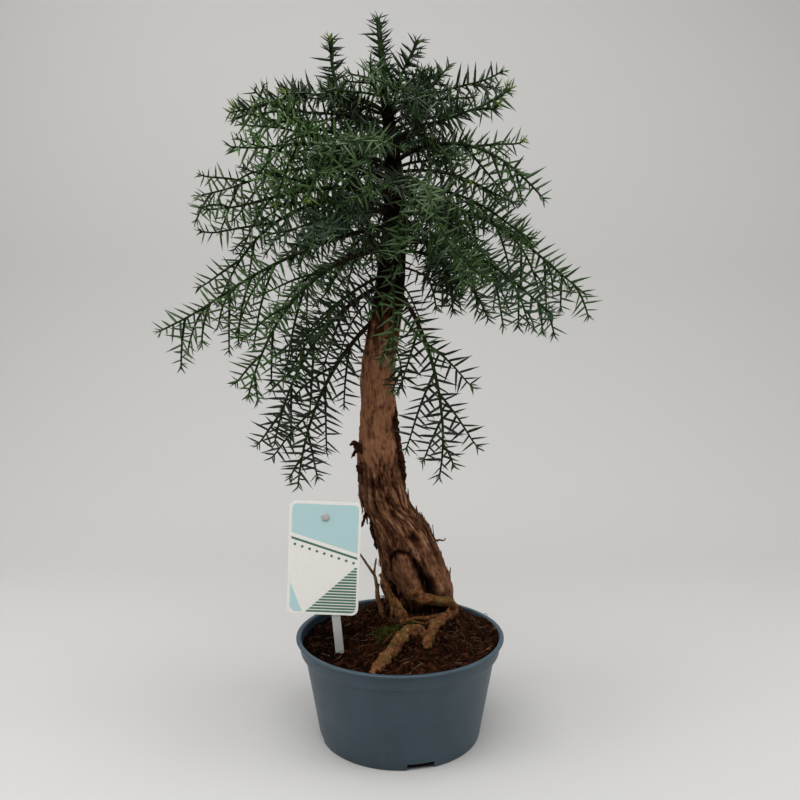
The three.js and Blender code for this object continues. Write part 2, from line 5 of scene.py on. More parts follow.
import bpy
import numpy as np
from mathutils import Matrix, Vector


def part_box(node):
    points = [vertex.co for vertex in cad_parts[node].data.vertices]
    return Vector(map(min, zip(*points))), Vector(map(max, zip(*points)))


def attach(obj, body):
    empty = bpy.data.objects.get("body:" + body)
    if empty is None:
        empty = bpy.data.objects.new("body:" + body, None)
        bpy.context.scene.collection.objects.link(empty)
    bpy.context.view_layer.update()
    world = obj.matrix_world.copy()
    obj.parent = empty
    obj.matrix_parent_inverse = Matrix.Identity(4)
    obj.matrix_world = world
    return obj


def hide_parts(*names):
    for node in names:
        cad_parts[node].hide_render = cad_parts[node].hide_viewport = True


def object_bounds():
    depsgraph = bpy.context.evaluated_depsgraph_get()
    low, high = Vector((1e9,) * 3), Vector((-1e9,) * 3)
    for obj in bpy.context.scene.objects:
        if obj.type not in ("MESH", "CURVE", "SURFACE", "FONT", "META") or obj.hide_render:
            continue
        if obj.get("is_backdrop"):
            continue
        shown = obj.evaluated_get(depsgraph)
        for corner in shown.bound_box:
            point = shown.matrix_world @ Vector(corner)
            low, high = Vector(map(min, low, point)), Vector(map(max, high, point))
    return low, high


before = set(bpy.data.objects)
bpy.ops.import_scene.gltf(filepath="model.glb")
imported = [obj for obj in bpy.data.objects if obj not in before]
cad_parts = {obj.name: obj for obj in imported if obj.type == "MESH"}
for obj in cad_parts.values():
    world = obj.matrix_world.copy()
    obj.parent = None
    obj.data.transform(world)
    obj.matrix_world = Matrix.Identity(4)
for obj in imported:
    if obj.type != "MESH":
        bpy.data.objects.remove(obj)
solid_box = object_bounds()

# Pot
# A round nursery tub, injection-moulded in blue-grey polypropylene with a wall under 2 mm thick.
# The collar steps out over a shoulder so that tubs stack, the lip is turned out, and drain notches
# are cut through the foot.

MM = 0.001
POT_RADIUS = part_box("pot")[1][0] / MM
POT_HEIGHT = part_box("pot")[1][2] / MM
POT_WALL = 1.8
POT_SIDES = 160
POT_CREASE = 40
BASE_RADIUS = POT_RADIUS - 21.6
SHOULDER_RADIUS = POT_RADIUS - 8.3
SHOULDER_HEIGHT = 75
COLLAR_RADIUS = POT_RADIUS - 4
COLLAR_HEIGHT = 79
COLLAR_TOP = COLLAR_RADIUS + 1
LIP_HEIGHT = POT_HEIGHT - 2
LIP_LAND = 4
FILLET_STEPS = 5
NOTCH_COUNT = 4
NOTCH_WIDTH = 24
NOTCH_HEIGHT = 6
NOTCH_DEPTH = 4
NOTCH_HEADING = -76
POT_BLUE = "#263944"
POT_BLUE_PALE = "#314651"
POT_DUST = "#565a57"
POT_GLOSS = (0.34, 0.56)
ORANGE_PEEL = 0.5
PEEL_DEPTH = 0.1
FLOW_MARK = 26
DUST_PATCH = 9
DUST_COVER = 0.4


def linear(colour):
    """Linear RGBA of an sRGB hex colour."""
    parts = [int(colour[i:i + 2], 16) / 255 for i in (1, 3, 5)]
    return [c / 12.92 if c <= 0.04045 else ((c + 0.055) / 1.055) ** 2.4 for c in parts] + [1]


def feed(node, inputs):
    """Sets or links a node's inputs by name or number. A node as a value stands for its first open output."""
    for key, value in inputs.items():
        if isinstance(value, bpy.types.Node):
            value = next(socket for socket in value.outputs if socket.enabled)
        if isinstance(value, bpy.types.NodeSocket):
            node.id_data.links.new(value, node.inputs[key])
        else:
            node.inputs[key].default_value = value


def add(tree, kind, inputs=None, **settings):
    """Adds a node with its settings and inputs."""
    node = tree.nodes.new(kind)
    for key, value in settings.items():
        setattr(node, key, value)
    feed(node, inputs or {})
    return node


def new_material(name, **values):
    """A material with its tree and its shader, whose uniform values are set on the shader's sockets."""
    material = bpy.data.materials.new(name)
    material.use_nodes = True
    shader = material.node_tree.nodes["Principled BSDF"]
    feed(shader, {key.replace("_", " "): value for key, value in values.items()})
    return material, material.node_tree, shader


def blend_stops(ramp, stops):
    """Sets a colour ramp's stops from pairs of place and hex colour."""
    elements = ramp.color_ramp.elements
    while len(elements) < len(stops):
        elements.new(0.5)
    for element, (place, colour) in zip(elements, stops):
        element.position = place
        element.color = linear(colour)


def tinted(tree, place, size, stops, **noise):
    """Patches of a size and the colours that run through them, as two nodes."""
    patches = add(tree, "ShaderNodeTexNoise", {"Vector": place, "Scale": 1 / (size * MM), **noise})
    tint = add(tree, "ShaderNodeValToRGB", {"Fac": patches})
    blend_stops(tint, stops)
    return patches, tint


def new_mesh(name, points, faces=(), edges=(), fields=None, smooth=True):
    """A mesh in metres from points in millimetres, with fields of numbers or vectors on its points."""
    mesh = bpy.data.meshes.new(name)
    mesh.from_pydata((np.asarray(points) * MM).tolist(), edges, faces)
    for key, values in (fields or {}).items():
        kind = "FLOAT" if np.ndim(values) == 1 else "FLOAT_VECTOR"
        part = "value" if kind == "FLOAT" else "vector"
        field = mesh.attributes.new(key, kind, "POINT")
        field.data.foreach_set(part, np.ravel(values).astype(np.float32))
    if smooth:
        mesh.shade_smooth()
    else:
        mesh.shade_flat()
    return mesh


def in_scene(name, data):
    """An object in the scene, at the origin, that holds a mesh, a curve, a lamp or a camera."""
    thing = bpy.data.objects.new(name, data)
    bpy.context.scene.collection.objects.link(thing)
    return thing


def plain_mesh(holder):
    """The mesh that an object shows. The object itself goes."""
    graph = bpy.context.evaluated_depsgraph_get()
    mesh = bpy.data.meshes.new_from_object(holder.evaluated_get(graph))
    bpy.data.objects.remove(holder)
    return mesh


def new_piece(name, mesh, slot, *nodes, material=None):
    """Shows a mesh as a piece of the plant, in the place of the named solids."""
    piece = in_scene(name, mesh)
    if material:
        mesh.materials.clear()
        mesh.materials.append(material)
    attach(piece, "root")
    if nodes:
        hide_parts(*nodes)


def new_node_tree(name, **inputs):
    """An empty tree of geometry nodes with named inputs, what they give, and its output node."""
    tree = bpy.data.node_groups.new(name, "GeometryNodeTree")
    tree.interface.new_socket(name="Geometry", in_out="INPUT", socket_type="NodeSocketGeometry")
    for key, kind in inputs.items():
        socket = "NodeSocket" + kind
        tree.interface.new_socket(name=key.replace("_", " "), in_out="INPUT", socket_type=socket)
    tree.interface.new_socket(name="Geometry", in_out="OUTPUT", socket_type="NodeSocketGeometry")
    return tree, add(tree, "NodeGroupInput").outputs, add(tree, "NodeGroupOutput")


def end_tree(tree, geometry, material, result):
    """Ends a tree with realised instances in one material."""
    whole = add(tree, "GeometryNodeRealizeInstances", {"Geometry": geometry})
    feed(result, {0: add(tree, "GeometryNodeSetMaterial", {"Geometry": whole, "Material": material})})


def made_by(tree, mesh, **values):
    """The plain mesh that a tree of geometry nodes makes from a mesh and its input values."""
    holder = in_scene(mesh.name, mesh)
    modifier = holder.modifiers.new(tree.name, "NODES")
    modifier.node_group = tree
    for socket in tree.interface.items_tree:
        key = socket.name.replace(" ", "_")
        if key in values:
            modifier[socket.identifier] = values[key]
    return plain_mesh(holder)


def rounded(outline):
    """An outline of radius, height and corner fillet with its corners rounded."""
    rows = np.array(outline, float)
    points = []
    for i, (*corner, fillet) in enumerate(rows):
        if fillet == 0:
            points.append(corner)
            continue
        before = rows[i - 1, :2] - corner
        after = rows[i + 1, :2] - corner
        start = before / np.linalg.norm(before) * fillet
        end = after / np.linalg.norm(after) * fillet
        for t in np.linspace(0, 1, FILLET_STEPS):
            points.append(corner + start * (1 - t) ** 2 + end * t ** 2)
    return np.array(points)


def level_rings(profile, sides):
    """Level rings of points about the upright axis, one for each radius and height of a profile."""
    angle = np.linspace(0, 2 * np.pi, sides, endpoint=False)
    return [np.stack([r * np.cos(angle), r * np.sin(angle), np.full(sides, z)], 1) for r, z in profile]


def ring_faces(rings, sides):
    """Faces of a closed skin over rings of equal count that lie between two end points."""
    faces = []
    last = 1 + rings * sides
    for k in range(sides):
        n = (k + 1) % sides
        faces.append((0, 1 + n, 1 + k))
        for ring in range(rings - 1):
            a = 1 + ring * sides
            faces.append((a + k, a + n, a + n + sides, a + k + sides))
        faces.append((last, last - sides + k, last - sides + n))
    return faces


def turned(profile, sides):
    """Points and faces of a closed form turned about the upright axis, from pole to pole."""
    body = profile[1:-1]
    points = np.vstack([[[0, 0, profile[0][1]]], *level_rings(body, sides), [[0, 0, profile[-1][1]]]])
    return points, ring_faces(len(body), sides)


# Moulded polypropylene: a dull, waxy sheen over a fine orange-peel skin, paler flow marks, and soil dust
pot_plastic, tree, shader = new_material("moulded polypropylene", IOR=1.49)
place = add(tree, "ShaderNodeTexCoord").outputs["Object"]
_, tint = tinted(tree, place, FLOW_MARK, [(0.3, POT_BLUE), (0.75, POT_BLUE_PALE)], Detail=3)
speck = add(tree, "ShaderNodeTexNoise", {
    "Vector": place, "Scale": 1 / (DUST_PATCH * MM), "Detail": 8, "Roughness": 0.7})
dust = add(tree, "ShaderNodeMapRange", {
    "Value": speck, "From Min": 0.55, "From Max": 0.85, "To Max": DUST_COVER})
colour = add(tree, "ShaderNodeMix", {"Factor": dust, "A": tint, "B": linear(POT_DUST)}, data_type="RGBA")
gloss = add(tree, "ShaderNodeMapRange", {"Value": speck, "To Min": POT_GLOSS[0], "To Max": POT_GLOSS[1]})
peel = add(tree, "ShaderNodeTexNoise", {"Vector": place, "Scale": 1 / (ORANGE_PEEL * MM), "Detail": 2})
bump = add(tree, "ShaderNodeBump", {"Height": peel, "Strength": 0.12, "Distance": PEEL_DEPTH * MM})
feed(shader, {"Base Color": colour, "Roughness": gloss, "Normal": bump})

# Drain notches: boxes set round the foot and cut out of the wall
notch_tree, given, result = new_node_tree(
    "drain notches", Count="Int", Width="Float", Height="Float", Depth="Float", Radius="Float",
    Heading="Float", Finish="Material")
ring = add(notch_tree, "GeometryNodeMeshCircle", {"Vertices": given["Count"], "Radius": given["Radius"]})
size = add(notch_tree, "ShaderNodeCombineXYZ", {0: given["Depth"], 1: given["Width"], 2: given["Height"]})
box = add(notch_tree, "GeometryNodeMeshCube", {"Size": size})
step = add(notch_tree, "ShaderNodeMath", {0: 2 * math.pi, 1: given["Count"]}, operation="DIVIDE")
number = add(notch_tree, "GeometryNodeInputIndex")
turn = add(notch_tree, "ShaderNodeMath", {0: number, 1: step}, operation="MULTIPLY")
facing = add(notch_tree, "FunctionNodeAxisAngleToRotation", {"Axis": (0, 0, 1), "Angle": turn})
boxes = add(notch_tree, "GeometryNodeInstanceOnPoints", {"Points": ring, "Instance": box, "Rotation": facing})
heading = add(notch_tree, "ShaderNodeCombineXYZ", {2: given["Heading"]})
placed = add(notch_tree, "GeometryNodeTransform", {"Geometry": boxes, "Rotation": heading})
cutters = add(notch_tree, "GeometryNodeRealizeInstances", {"Geometry": placed})
cut = add(notch_tree, "GeometryNodeMeshBoolean", {"Mesh 1": given["Geometry"], "Mesh 2": cutters})
end_tree(notch_tree, cut, given["Finish"], result)

# The tub's outline up the outside and down the inside, as radius, height and fillet
pot_outline = rounded([
    (0, 0, 0),
    (BASE_RADIUS, 0, 1.6),
    (SHOULDER_RADIUS, SHOULDER_HEIGHT, 1.6),
    (COLLAR_RADIUS, COLLAR_HEIGHT, 2),
    (COLLAR_TOP, LIP_HEIGHT, 0.9),
    (POT_RADIUS, LIP_HEIGHT, 0.8),
    (POT_RADIUS, POT_HEIGHT, 1),
    (POT_RADIUS - LIP_LAND, POT_HEIGHT, 0.9),
    (COLLAR_TOP - POT_WALL, LIP_HEIGHT, 0.9),
    (COLLAR_RADIUS - POT_WALL, COLLAR_HEIGHT, 1),
    (SHOULDER_RADIUS - POT_WALL, SHOULDER_HEIGHT, 1),
    (BASE_RADIUS - POT_WALL, POT_WALL, 1),
    (0, POT_WALL, 0),
])
pot_mesh = made_by(
    notch_tree, new_mesh("pot", *turned(pot_outline, POT_SIDES)), Count=NOTCH_COUNT, Width=NOTCH_WIDTH * MM,
    Height=2 * NOTCH_HEIGHT * MM, Depth=2 * NOTCH_DEPTH * MM, Radius=BASE_RADIUS * MM,
    Heading=math.radians(NOTCH_HEADING), Finish=pot_plastic)
pot_mesh.set_sharp_from_angle(angle=math.radians(POT_CREASE))
new_piece("nursery_pot", pot_mesh, "pot_plastic", "pot")

# Root ball
# Peat potting soil in the shape of the pot, mounded up under the trunk and bound with fine roots.
# Crumbs and fibres lie loose on it, and a little moss grows where a root keeps it damp.

SOIL_PEAK = 106
SOIL_EDGE = 85
SOIL_GAP = 0.3
SOIL_WALL = COLLAR_RADIUS - POT_WALL - SOIL_GAP
SOIL_FLOOR = 2.1
MOUND = np.array([15, 32])
MOUND_PLATEAU = 31
SOIL_RINGS = 110
SOIL_SIDES = 280
SOIL_MIDDLE = 0.004
SOIL_LUMPS = [(24, 2), (9, 1.9), (3.5, 1.3)]
# Hollows beside the roots: place, radius and depth
SOIL_HOLLOWS = [(6, -45, 13, 5), (39, -18, 9, 4), (-62, -22, 22, 3)]
# The soil is banked up against the wall on the right, over the outer shares of the radius
EDGE_RISE = 7
EDGE_BANK = (0.75, 1)
# Loose stuff lies from this height up, and keeps this share of the radius
STREWN_HEIGHT = SOIL_EDGE - 6
STREWN_REACH = 0.97
# The side under the label is darkened with painted shadow from the label and the pot wall, and has less strewn
# on it
UNDER_LABEL_SIDE = (-70, -10)
PAINTED_LABEL_SHADOW = -0.13
UNDER_LABEL_STREWN = 0.35
PEAT_DARK = "#040201"
PEAT = "#180a04"
PEAT_PALE = "#4a2c1b"
DULL = 0.02
PEAT_CLOD = 5
PEAT_GRIT = 0.9
GRIT_DEPTH = 0.8
# Densities are counts for a square metre, and sizes are shares of a shape's own
CRUMB_COLOUR = "#24130b"
CRUMB_RADIUS = 1.5
CRUMB_FLATTENED = [1.2, 0.9, 0.7]
CRUMB_DENSITY = 60000
CRUMB_SIZES = (0.25, 1.3)
FIBRE_KINDS = {"rust": ("#54301d", 26000), "straw": ("#705d48", 9000), "umber": ("#2c1a0d", 30000)}
FIBRE_SEED = 20
FIBRE_SIZES = (0.4, 1.25)
FIBRE_LENGTH = 15
FIBRE_CURL = 3
FIBRE_CURL_TURN = 4.6
FIBRE_ARCH = 1.6
FIBRE_RADIUS = 0.18
FIBRE_SIDES = 3
FIBRE_FLECK = 6
MOSS_PLACES = [(-16, -25, 9), (-4, -21, 6), (10, -11, 4)]
MOSS_FADE = (0.5, 1.3)
MOSS_COLOUR = "#3b4817"
MOSS_DARK = "#263010"
MOSS_FLECK = 4
MOSS_LENGTH = 3
MOSS_BLADE = [(0, 0, 0), (0.3, 0, 1), (0.9, 0, 1.9), (1.7, 0, 2.5)]
MOSS_RADII = [0.25, 0.4, 0.3, 0.08]
MOSS_DENSITY = 1100000
MOSS_SIZES = (0.4, 1.0)


def smooth_step(start, end, x):
    """Rises smoothly from 0 to 1 between two values."""
    t = np.clip((x - start) / (end - start), 0, 1)
    return t * t * (3 - 2 * t)


def between(limits, share):
    """The value at a share of the way from one limit to the other."""
    return limits[0] + (limits[1] - limits[0]) * share


def soil_height(x, y):
    """Height of the root ball at a place, without its lumps."""
    out = np.stack([x - MOUND[0], y - MOUND[1]], -1)
    reach = np.maximum(np.linalg.norm(out, axis=-1), 1e-6)
    along = (out @ MOUND) / reach
    wall = np.sqrt(along ** 2 + SOIL_WALL ** 2 - MOUND @ MOUND) - along
    return SOIL_PEAK - (SOIL_PEAK - SOIL_EDGE) * smooth_step(MOUND_PLATEAU, wall, reach)


def noise(points, size, seed, octaves=1):
    """Smooth noise from -1 to 1 over points, with one cell of the given size, and finer octaves."""
    total = np.zeros(len(points))
    for octave in range(octaves):
        scaled = np.asarray(points) / np.asarray(size, float) * 2 ** octave + 100 * octave
        cell = np.floor(scaled).astype(np.int64)
        part = scaled - cell
        part = part * part * (3 - 2 * part)
        for corner in np.ndindex(2, 2, 2):
            key = (cell + corner) @ np.array([73856093, 19349663, 83492791]) + (seed + octave) * 2654435
            key = ((key ^ (key >> 13)) * 1274126177) & 0xFFFFFFFF
            value = ((key ^ (key >> 16)) & 0xFFFF) / 32767.5 - 1
            weight = np.prod(np.where(corner, part, 1 - part), axis=1)
            total += value * weight / 2 ** octave
    return total


def either_way(tree, most, seed):
    """A random number between a limit below zero and the same limit above it."""
    least = add(tree, "ShaderNodeMath", {0: most, 1: -1}, operation="MULTIPLY")
    return add(tree, "FunctionNodeRandomValue", {2: least, 3: most, "Seed": seed})


def turned_on(tree, rotation, axis, angle):
    """A rotation that is turned on by an angle about its own axis."""
    turn = add(tree, "FunctionNodeAxisAngleToRotation", {"Axis": axis, "Angle": angle})
    return add(tree, "FunctionNodeRotateRotation", {"Rotation": rotation, "Rotate By": turn},
               rotation_space="LOCAL")


def scatter_tree(name, upright):
    """A tree that strews copies of a small shape over a surface, as thickly as its density says."""
    tree, given, result = new_node_tree(
        name, Shape="Object", Density="Float", Where="String", Smallest="Float", Largest="Float",
        Lean="Float", Seed="Int", Finish="Material")
    share = add(tree, "GeometryNodeInputNamedAttribute", {"Name": given["Where"]}, data_type="FLOAT")
    density = add(tree, "ShaderNodeMath", {0: share, 1: given["Density"]}, operation="MULTIPLY")
    spread = add(tree, "GeometryNodeDistributePointsOnFaces", {
        "Mesh": given["Geometry"], "Density": density, "Seed": given["Seed"]})
    rotation = spread.outputs["Rotation"]
    if upright:
        rotation = add(tree, "FunctionNodeAlignRotationToVector", {
            "Rotation": rotation, "Vector": (0, 0, 1)}, axis="X", pivot_axis="Z")
    else:
        spin = add(tree, "FunctionNodeRandomValue", {2: 0, 3: 2 * math.pi, "Seed": given["Seed"]})
        rotation = turned_on(tree, rotation, (0, 0, 1), spin)
    rotation = turned_on(tree, rotation, (0.6, 0.8, 0), either_way(tree, given["Lean"], given["Seed"]))
    size = add(tree, "FunctionNodeRandomValue", {
        2: given["Smallest"], 3: given["Largest"], "Seed": given["Seed"]})
    shape = add(tree, "GeometryNodeObjectInfo", {"Object": given["Shape"]})
    copies = add(tree, "GeometryNodeInstanceOnPoints", {
        "Points": spread, "Instance": shape.outputs["Geometry"], "Rotation": rotation, "Scale": size})
    end_tree(tree, copies, given["Finish"], result)
    return tree


def strewn_over(ground, tree, shape, where, density, sizes, lean, seed, material):
    """A mesh of copies of a shape, strewn over a surface as thickly as one of its fields says."""
    return made_by(tree, ground, Shape=shape, Where=where, Density=density, Smallest=sizes[0],
                   Largest=sizes[1], Lean=lean, Seed=seed, Finish=material)


def shape_to_strew(name, points, faces, smooth=False):
    """A small shape for a tree to copy: it isn't itself a piece, and goes once it has been copied."""
    return in_scene(name, new_mesh(name, points, faces, smooth=smooth))


def tube(line, radii, sides):
    """Points and faces of a closed tube of few sides along a short line."""
    line = np.asarray(line, float)
    tangent = np.gradient(line, axis=0)
    tangent /= np.linalg.norm(tangent, axis=1, keepdims=True)
    across = np.cross(tangent, [0.3, 1, 0.2])
    across /= np.linalg.norm(across, axis=1, keepdims=True)
    over = np.cross(tangent, across)
    angle = np.linspace(0, 2 * np.pi, sides, endpoint=False)[None, :, None]
    radius = np.asarray(radii, float)[:, None, None]
    rings = line[:, None] + radius * (across[:, None] * np.cos(angle) + over[:, None] * np.sin(angle))
    points = np.vstack([line[:1], rings.reshape(-1, 3), line[-1:]])
    return points, ring_faces(len(line), sides)


def loose_material(name, roughness, size, stops, detail):
    """A dull material of loose stuff on the soil, flecked with colours in patches of a size."""
    material, tree, shader = new_material(name, Roughness=roughness, Specular_IOR_Level=DULL)
    place = add(tree, "ShaderNodeTexCoord").outputs["Object"]
    feed(shader, {"Base Color": tinted(tree, place, size, stops, Detail=detail)[1]})
    return material


# Damp peat: near black, brown and dull in patches the size of clods, with pale grit, and painted shadow that
# darkens the side under the label
peat, tree, shader = new_material("damp peat", Roughness=0.95, Specular_IOR_Level=DULL)
place = add(tree, "ShaderNodeTexCoord").outputs["Object"]
clod = add(tree, "ShaderNodeTexNoise", {
    "Vector": place, "Scale": 1 / (PEAT_CLOD * MM), "Detail": 9, "Roughness": 0.72})
# The field named damp is painted shadow: it darkens the peat on the side under the label
label_shadow = add(tree, "ShaderNodeAttribute", attribute_name="damp").outputs["Fac"]
shade = add(tree, "ShaderNodeMath", {0: label_shadow, 1: PAINTED_LABEL_SHADOW, 2: clod}, operation="MULTIPLY_ADD")
tint = add(tree, "ShaderNodeValToRGB", {"Fac": shade})
blend_stops(tint, [(0.34, PEAT_DARK), (0.52, PEAT), (0.72, PEAT_PALE)])
grit = add(tree, "ShaderNodeTexNoise", {"Vector": place, "Scale": 1 / (PEAT_GRIT * MM), "Detail": 4})
bump = add(tree, "ShaderNodeBump", {"Height": grit, "Strength": 0.9, "Distance": GRIT_DEPTH * MM})
feed(shader, {"Base Color": tint, "Normal": bump})

angle = np.linspace(0, 2 * np.pi, SOIL_SIDES, endpoint=False)
reach = SOIL_WALL * np.linspace(1, SOIL_MIDDLE, SOIL_RINGS)
soil_x = np.outer(reach, np.cos(angle)).ravel()
soil_y = np.outer(reach, np.sin(angle)).ravel()
soil_top = np.stack([soil_x, soil_y, soil_height(soil_x, soil_y)], 1)
for seed, (size, rise) in enumerate(SOIL_LUMPS):
    soil_top[:, 2] += rise * noise(soil_top, size, seed, 2)
for x, y, radius, depth in SOIL_HOLLOWS:
    soil_top[:, 2] -= depth * np.exp(-((soil_x - x) ** 2 + (soil_y - y) ** 2) / radius ** 2)
soil_top[:, 2] += (EDGE_RISE * np.clip(soil_x / SOIL_WALL, 0, 1)
                   * smooth_step(*EDGE_BANK, np.hypot(soil_x, soil_y) / SOIL_WALL))
soil_skirt = level_rings([
    (BASE_RADIUS - POT_WALL - SOIL_GAP, SOIL_FLOOR),
    (SHOULDER_RADIUS - POT_WALL - SOIL_GAP, SHOULDER_HEIGHT),
    (SOIL_WALL, COLLAR_HEIGHT + SOIL_GAP)], SOIL_SIDES)
soil_points = np.vstack([[[0, 0, SOIL_FLOOR]], *soil_skirt, soil_top, [[0, 0, soil_top[-1, 2]]]])
strewn = (soil_points[:, 2] > STREWN_HEIGHT).astype(float)
near_edge = np.hypot(soil_points[:, 0], soil_points[:, 1]) / SOIL_WALL
moss = np.zeros(len(soil_points))
for x, y, radius in MOSS_PLACES:
    off = np.hypot(soil_points[:, 0] - x, soil_points[:, 1] - y) / radius
    moss = np.maximum(moss, 1 - smooth_step(*MOSS_FADE, off))
# Share of painted shadow under the label, 1 on the left and 0 towards the middle, kept as the field named
# damp; the same share thins the loose stuff there
damp = 1 - smooth_step(*UNDER_LABEL_SIDE, soil_points[:, 0])
loose = strewn * (near_edge < STREWN_REACH) * between((1, UNDER_LABEL_STREWN), damp)
soil_mesh = new_mesh("root_ball", soil_points, ring_faces(SOIL_RINGS + len(soil_skirt), SOIL_SIDES),
                     fields={"strewn": loose, "moss": moss * strewn, "damp": damp})
new_piece("root_ball", soil_mesh, "peat", "soil", material=peat)

# Crumbs: lumps with the twelve corners and twenty faces of an icosahedron, each a little out of shape
strew = scatter_tree("strewn over the soil", upright=False)
phi = (1 + 5 ** 0.5) / 2
corners = np.array([(s, t * phi, 0) for s in (-1, 1) for t in (-1, 1)])
corners = np.vstack([corners, np.roll(corners, 1, axis=1), np.roll(corners, 2, axis=1)])
corners /= np.linalg.norm(corners[0])
crumb_faces = []
for face in [(a, b, c) for a in range(12) for b in range(a + 1, 12) for c in range(b + 1, 12)]:
    a, b, c = corners[list(face)]
    if max(np.linalg.norm(a - b), np.linalg.norm(b - c), np.linalg.norm(c - a)) < 1.1:
        crumb_faces.append(face if np.dot(np.cross(b - a, c - a), a) > 0 else face[::-1])
lump = corners * (1 + 0.3 * noise(corners * 9, 4, 3))[:, None] * CRUMB_FLATTENED * CRUMB_RADIUS
crumb_shape = shape_to_strew("crumb", lump, crumb_faces, smooth=True)
# Dry peat: paler and duller than the damp soil under it
crumb_peat = loose_material("dry peat crumb", 1, PEAT_CLOD, [
    (0.35, PEAT_DARK), (0.5, CRUMB_COLOUR), (0.7, PEAT_PALE)], detail=6)
crumbs = strewn_over(soil_mesh, strew, crumb_shape, "strewn", CRUMB_DENSITY, CRUMB_SIZES, lean=0.6, seed=4,
                     material=crumb_peat)
new_piece("peat_crumbs", crumbs, "peat")
bpy.data.objects.remove(crumb_shape)

share = np.linspace(0, 1, 7)
curl = np.stack([FIBRE_LENGTH * (share - 0.5), FIBRE_CURL * np.sin(FIBRE_CURL_TURN * share),
                 FIBRE_ARCH * np.sin(np.pi * share)], 1)
fibre_shape = shape_to_strew("fibre", *tube(curl, FIBRE_RADIUS * (1.2 - share), FIBRE_SIDES))
for seed, (name, (colour, density)) in enumerate(FIBRE_KINDS.items(), FIBRE_SEED):
    # Dead rootlets: dull, slightly woody strands
    strand = loose_material("dead rootlet " + name, 0.8, FIBRE_FLECK, [(0.3, PEAT), (0.6, colour)], detail=2)
    fibres = strewn_over(soil_mesh, strew, fibre_shape, "strewn", density, FIBRE_SIZES, lean=0.35, seed=seed,
                         material=strand)
    new_piece("rootlets_" + name, fibres, "peat")
bpy.data.objects.remove(fibre_shape)

# Cushion moss: short, soft blades in patches of a darker and a lighter green
blade = np.array(MOSS_BLADE) * MOSS_LENGTH / MOSS_BLADE[-1][2]
moss_shape = shape_to_strew("moss_blade", *tube(blade, MOSS_RADII, FIBRE_SIDES))
moss_green = loose_material("cushion moss", 0.75, MOSS_FLECK, [
    (0.3, MOSS_DARK), (0.7, MOSS_COLOUR)], detail=2)
moss_mesh = strewn_over(soil_mesh, strew, moss_shape, "moss", MOSS_DENSITY, MOSS_SIZES, lean=0.7, seed=9,
                        material=moss_green)
new_piece("moss", moss_mesh, "peat")
bpy.data.objects.remove(moss_shape)

# Trunk
# The leaning, twisted trunk of a conifer some twenty years old, with a root flare like a clenched hand.
# Its bark is thick, dark and shaggy below an old wound at a third of its height, and cleaner above.

# Places along the trunk: x, y, height and radius
TRUNK_LINE = [
    (16, 34, 106, 29.5), (14, 32, 138, 28.5), (1.5, 27, 186, 26.5), (-14, 22, 212, 22.5),
    (-19, 17, 258, 18.8), (-20.5, 13, 300, 15.6), (-18.5, 8, 344, 15), (-8, 3, 416, 12.5),
    (-5, 0, 500, 8.4), (-17.5, 0, 612, 2.2)]
TRUNK_FOOT = 99
TRUNK_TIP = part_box("trunk")[1][2] / MM
TRUNK_SIDES = 220
TRUNK_RINGS = 400
RING_CROWDING = 1.15
LEAST_RADIUS = 0.4
FLARE_HEIGHT = 80
FLARE_LOBE_WIDTH = 32
FLARE_LOBES = [(205, 0.2), (262, 0.14), (342, 0.18), (60, 0.12), (130, 0.12)]
# Swells and hollows: depth, heading, height, and how far they reach round and up
TRUNK_FORMS = [
    (6.5, 255, 146, 23, 18), (-9, 262, 106, 22, 9), (5, 318, 142, 20, 24), (-8, 300, 108, 26, 8),
    (-6, 200, 110, 26, 14), (-5, 228, 118, 10, 12), (-2.5, 279, 215, 8, 5), (-2.5, 288, 180, 8, 5),
    (-4, 20, 160, 18, 40), (-6, 100, 140, 16, 36), (-6, 160, 130, 14, 30), (-2.2, 320, 278, 20, 12),
    (3, 350, 262, 18, 9), (2.4, 345, 300, 14, 12), (1.6, 200, 256, 60, 8)]
# Creases between the lobes of the flare: depth, width, and places as heading and height
TRUNK_CREASES = [
    (2.2, 1.8, [(226, 148), (232, 160), (250, 168), (270, 166), (278, 157)]),
    (11, 4.4, [(279, 154), (285, 143), (292, 131), (297, 120)]),
    (3.4, 2.4, [(186, 147), (214, 138), (240, 128), (256, 117)]),
]
CREASE_GIRTH = 30
# The smooth skin of the front lobes, paler partly in its own colour and partly with a painted highlight: how
# pale it is, heading, height, and how far it reaches round and up
LOBE_SKINS_AND_HIGHLIGHTS = [(0.08, 256, 142, 27, 22), (0.16, 322, 138, 20, 24)]
LOBE_SMOOTHED = 0.72
# Features of the bark: width, length along the grain, seed, and height on shaggy and on clean bark
BARK_FEATURES = {
    "strips": (5, 40, 42, 0.5, 0.2), "flakes": (2.8, 7, 48, 0.9, 0.45), "plates": (4, 20, 44, 0.6, 0.25),
    "cracks": (7, 32, 43, -0.6, -0.35), "grit": (1.5, 5, 45, 0.5, 0.45)}
PLATE_EDGE = (-0.05, 0.12)
CRACK_EDGE = (0.02, 0.11)
TORN_RELIEF = 1.1
LUMP_RELIEF = 1.3
GRAIN_TWIST = 0.16
# Ropes of bark along the grain of the right flank: its heading and half width, and where they begin and end
ROPE_FLANK = (322, 38)
ROPE_FOOT = (146, 160)
ROPE_TOP = (226, 246)
ROPE_BREAKS = (-0.25, 0.3)
ROPE_GIRTH = 27
ROPE_PITCH = 7
ROPE_WANDER = 4.5
ROPE_RELIEF = 1.2
SHAG_TOP = 262
SHAG_FADE = 26
SHAG_WANDER = 5
WOUND = (248, 13)
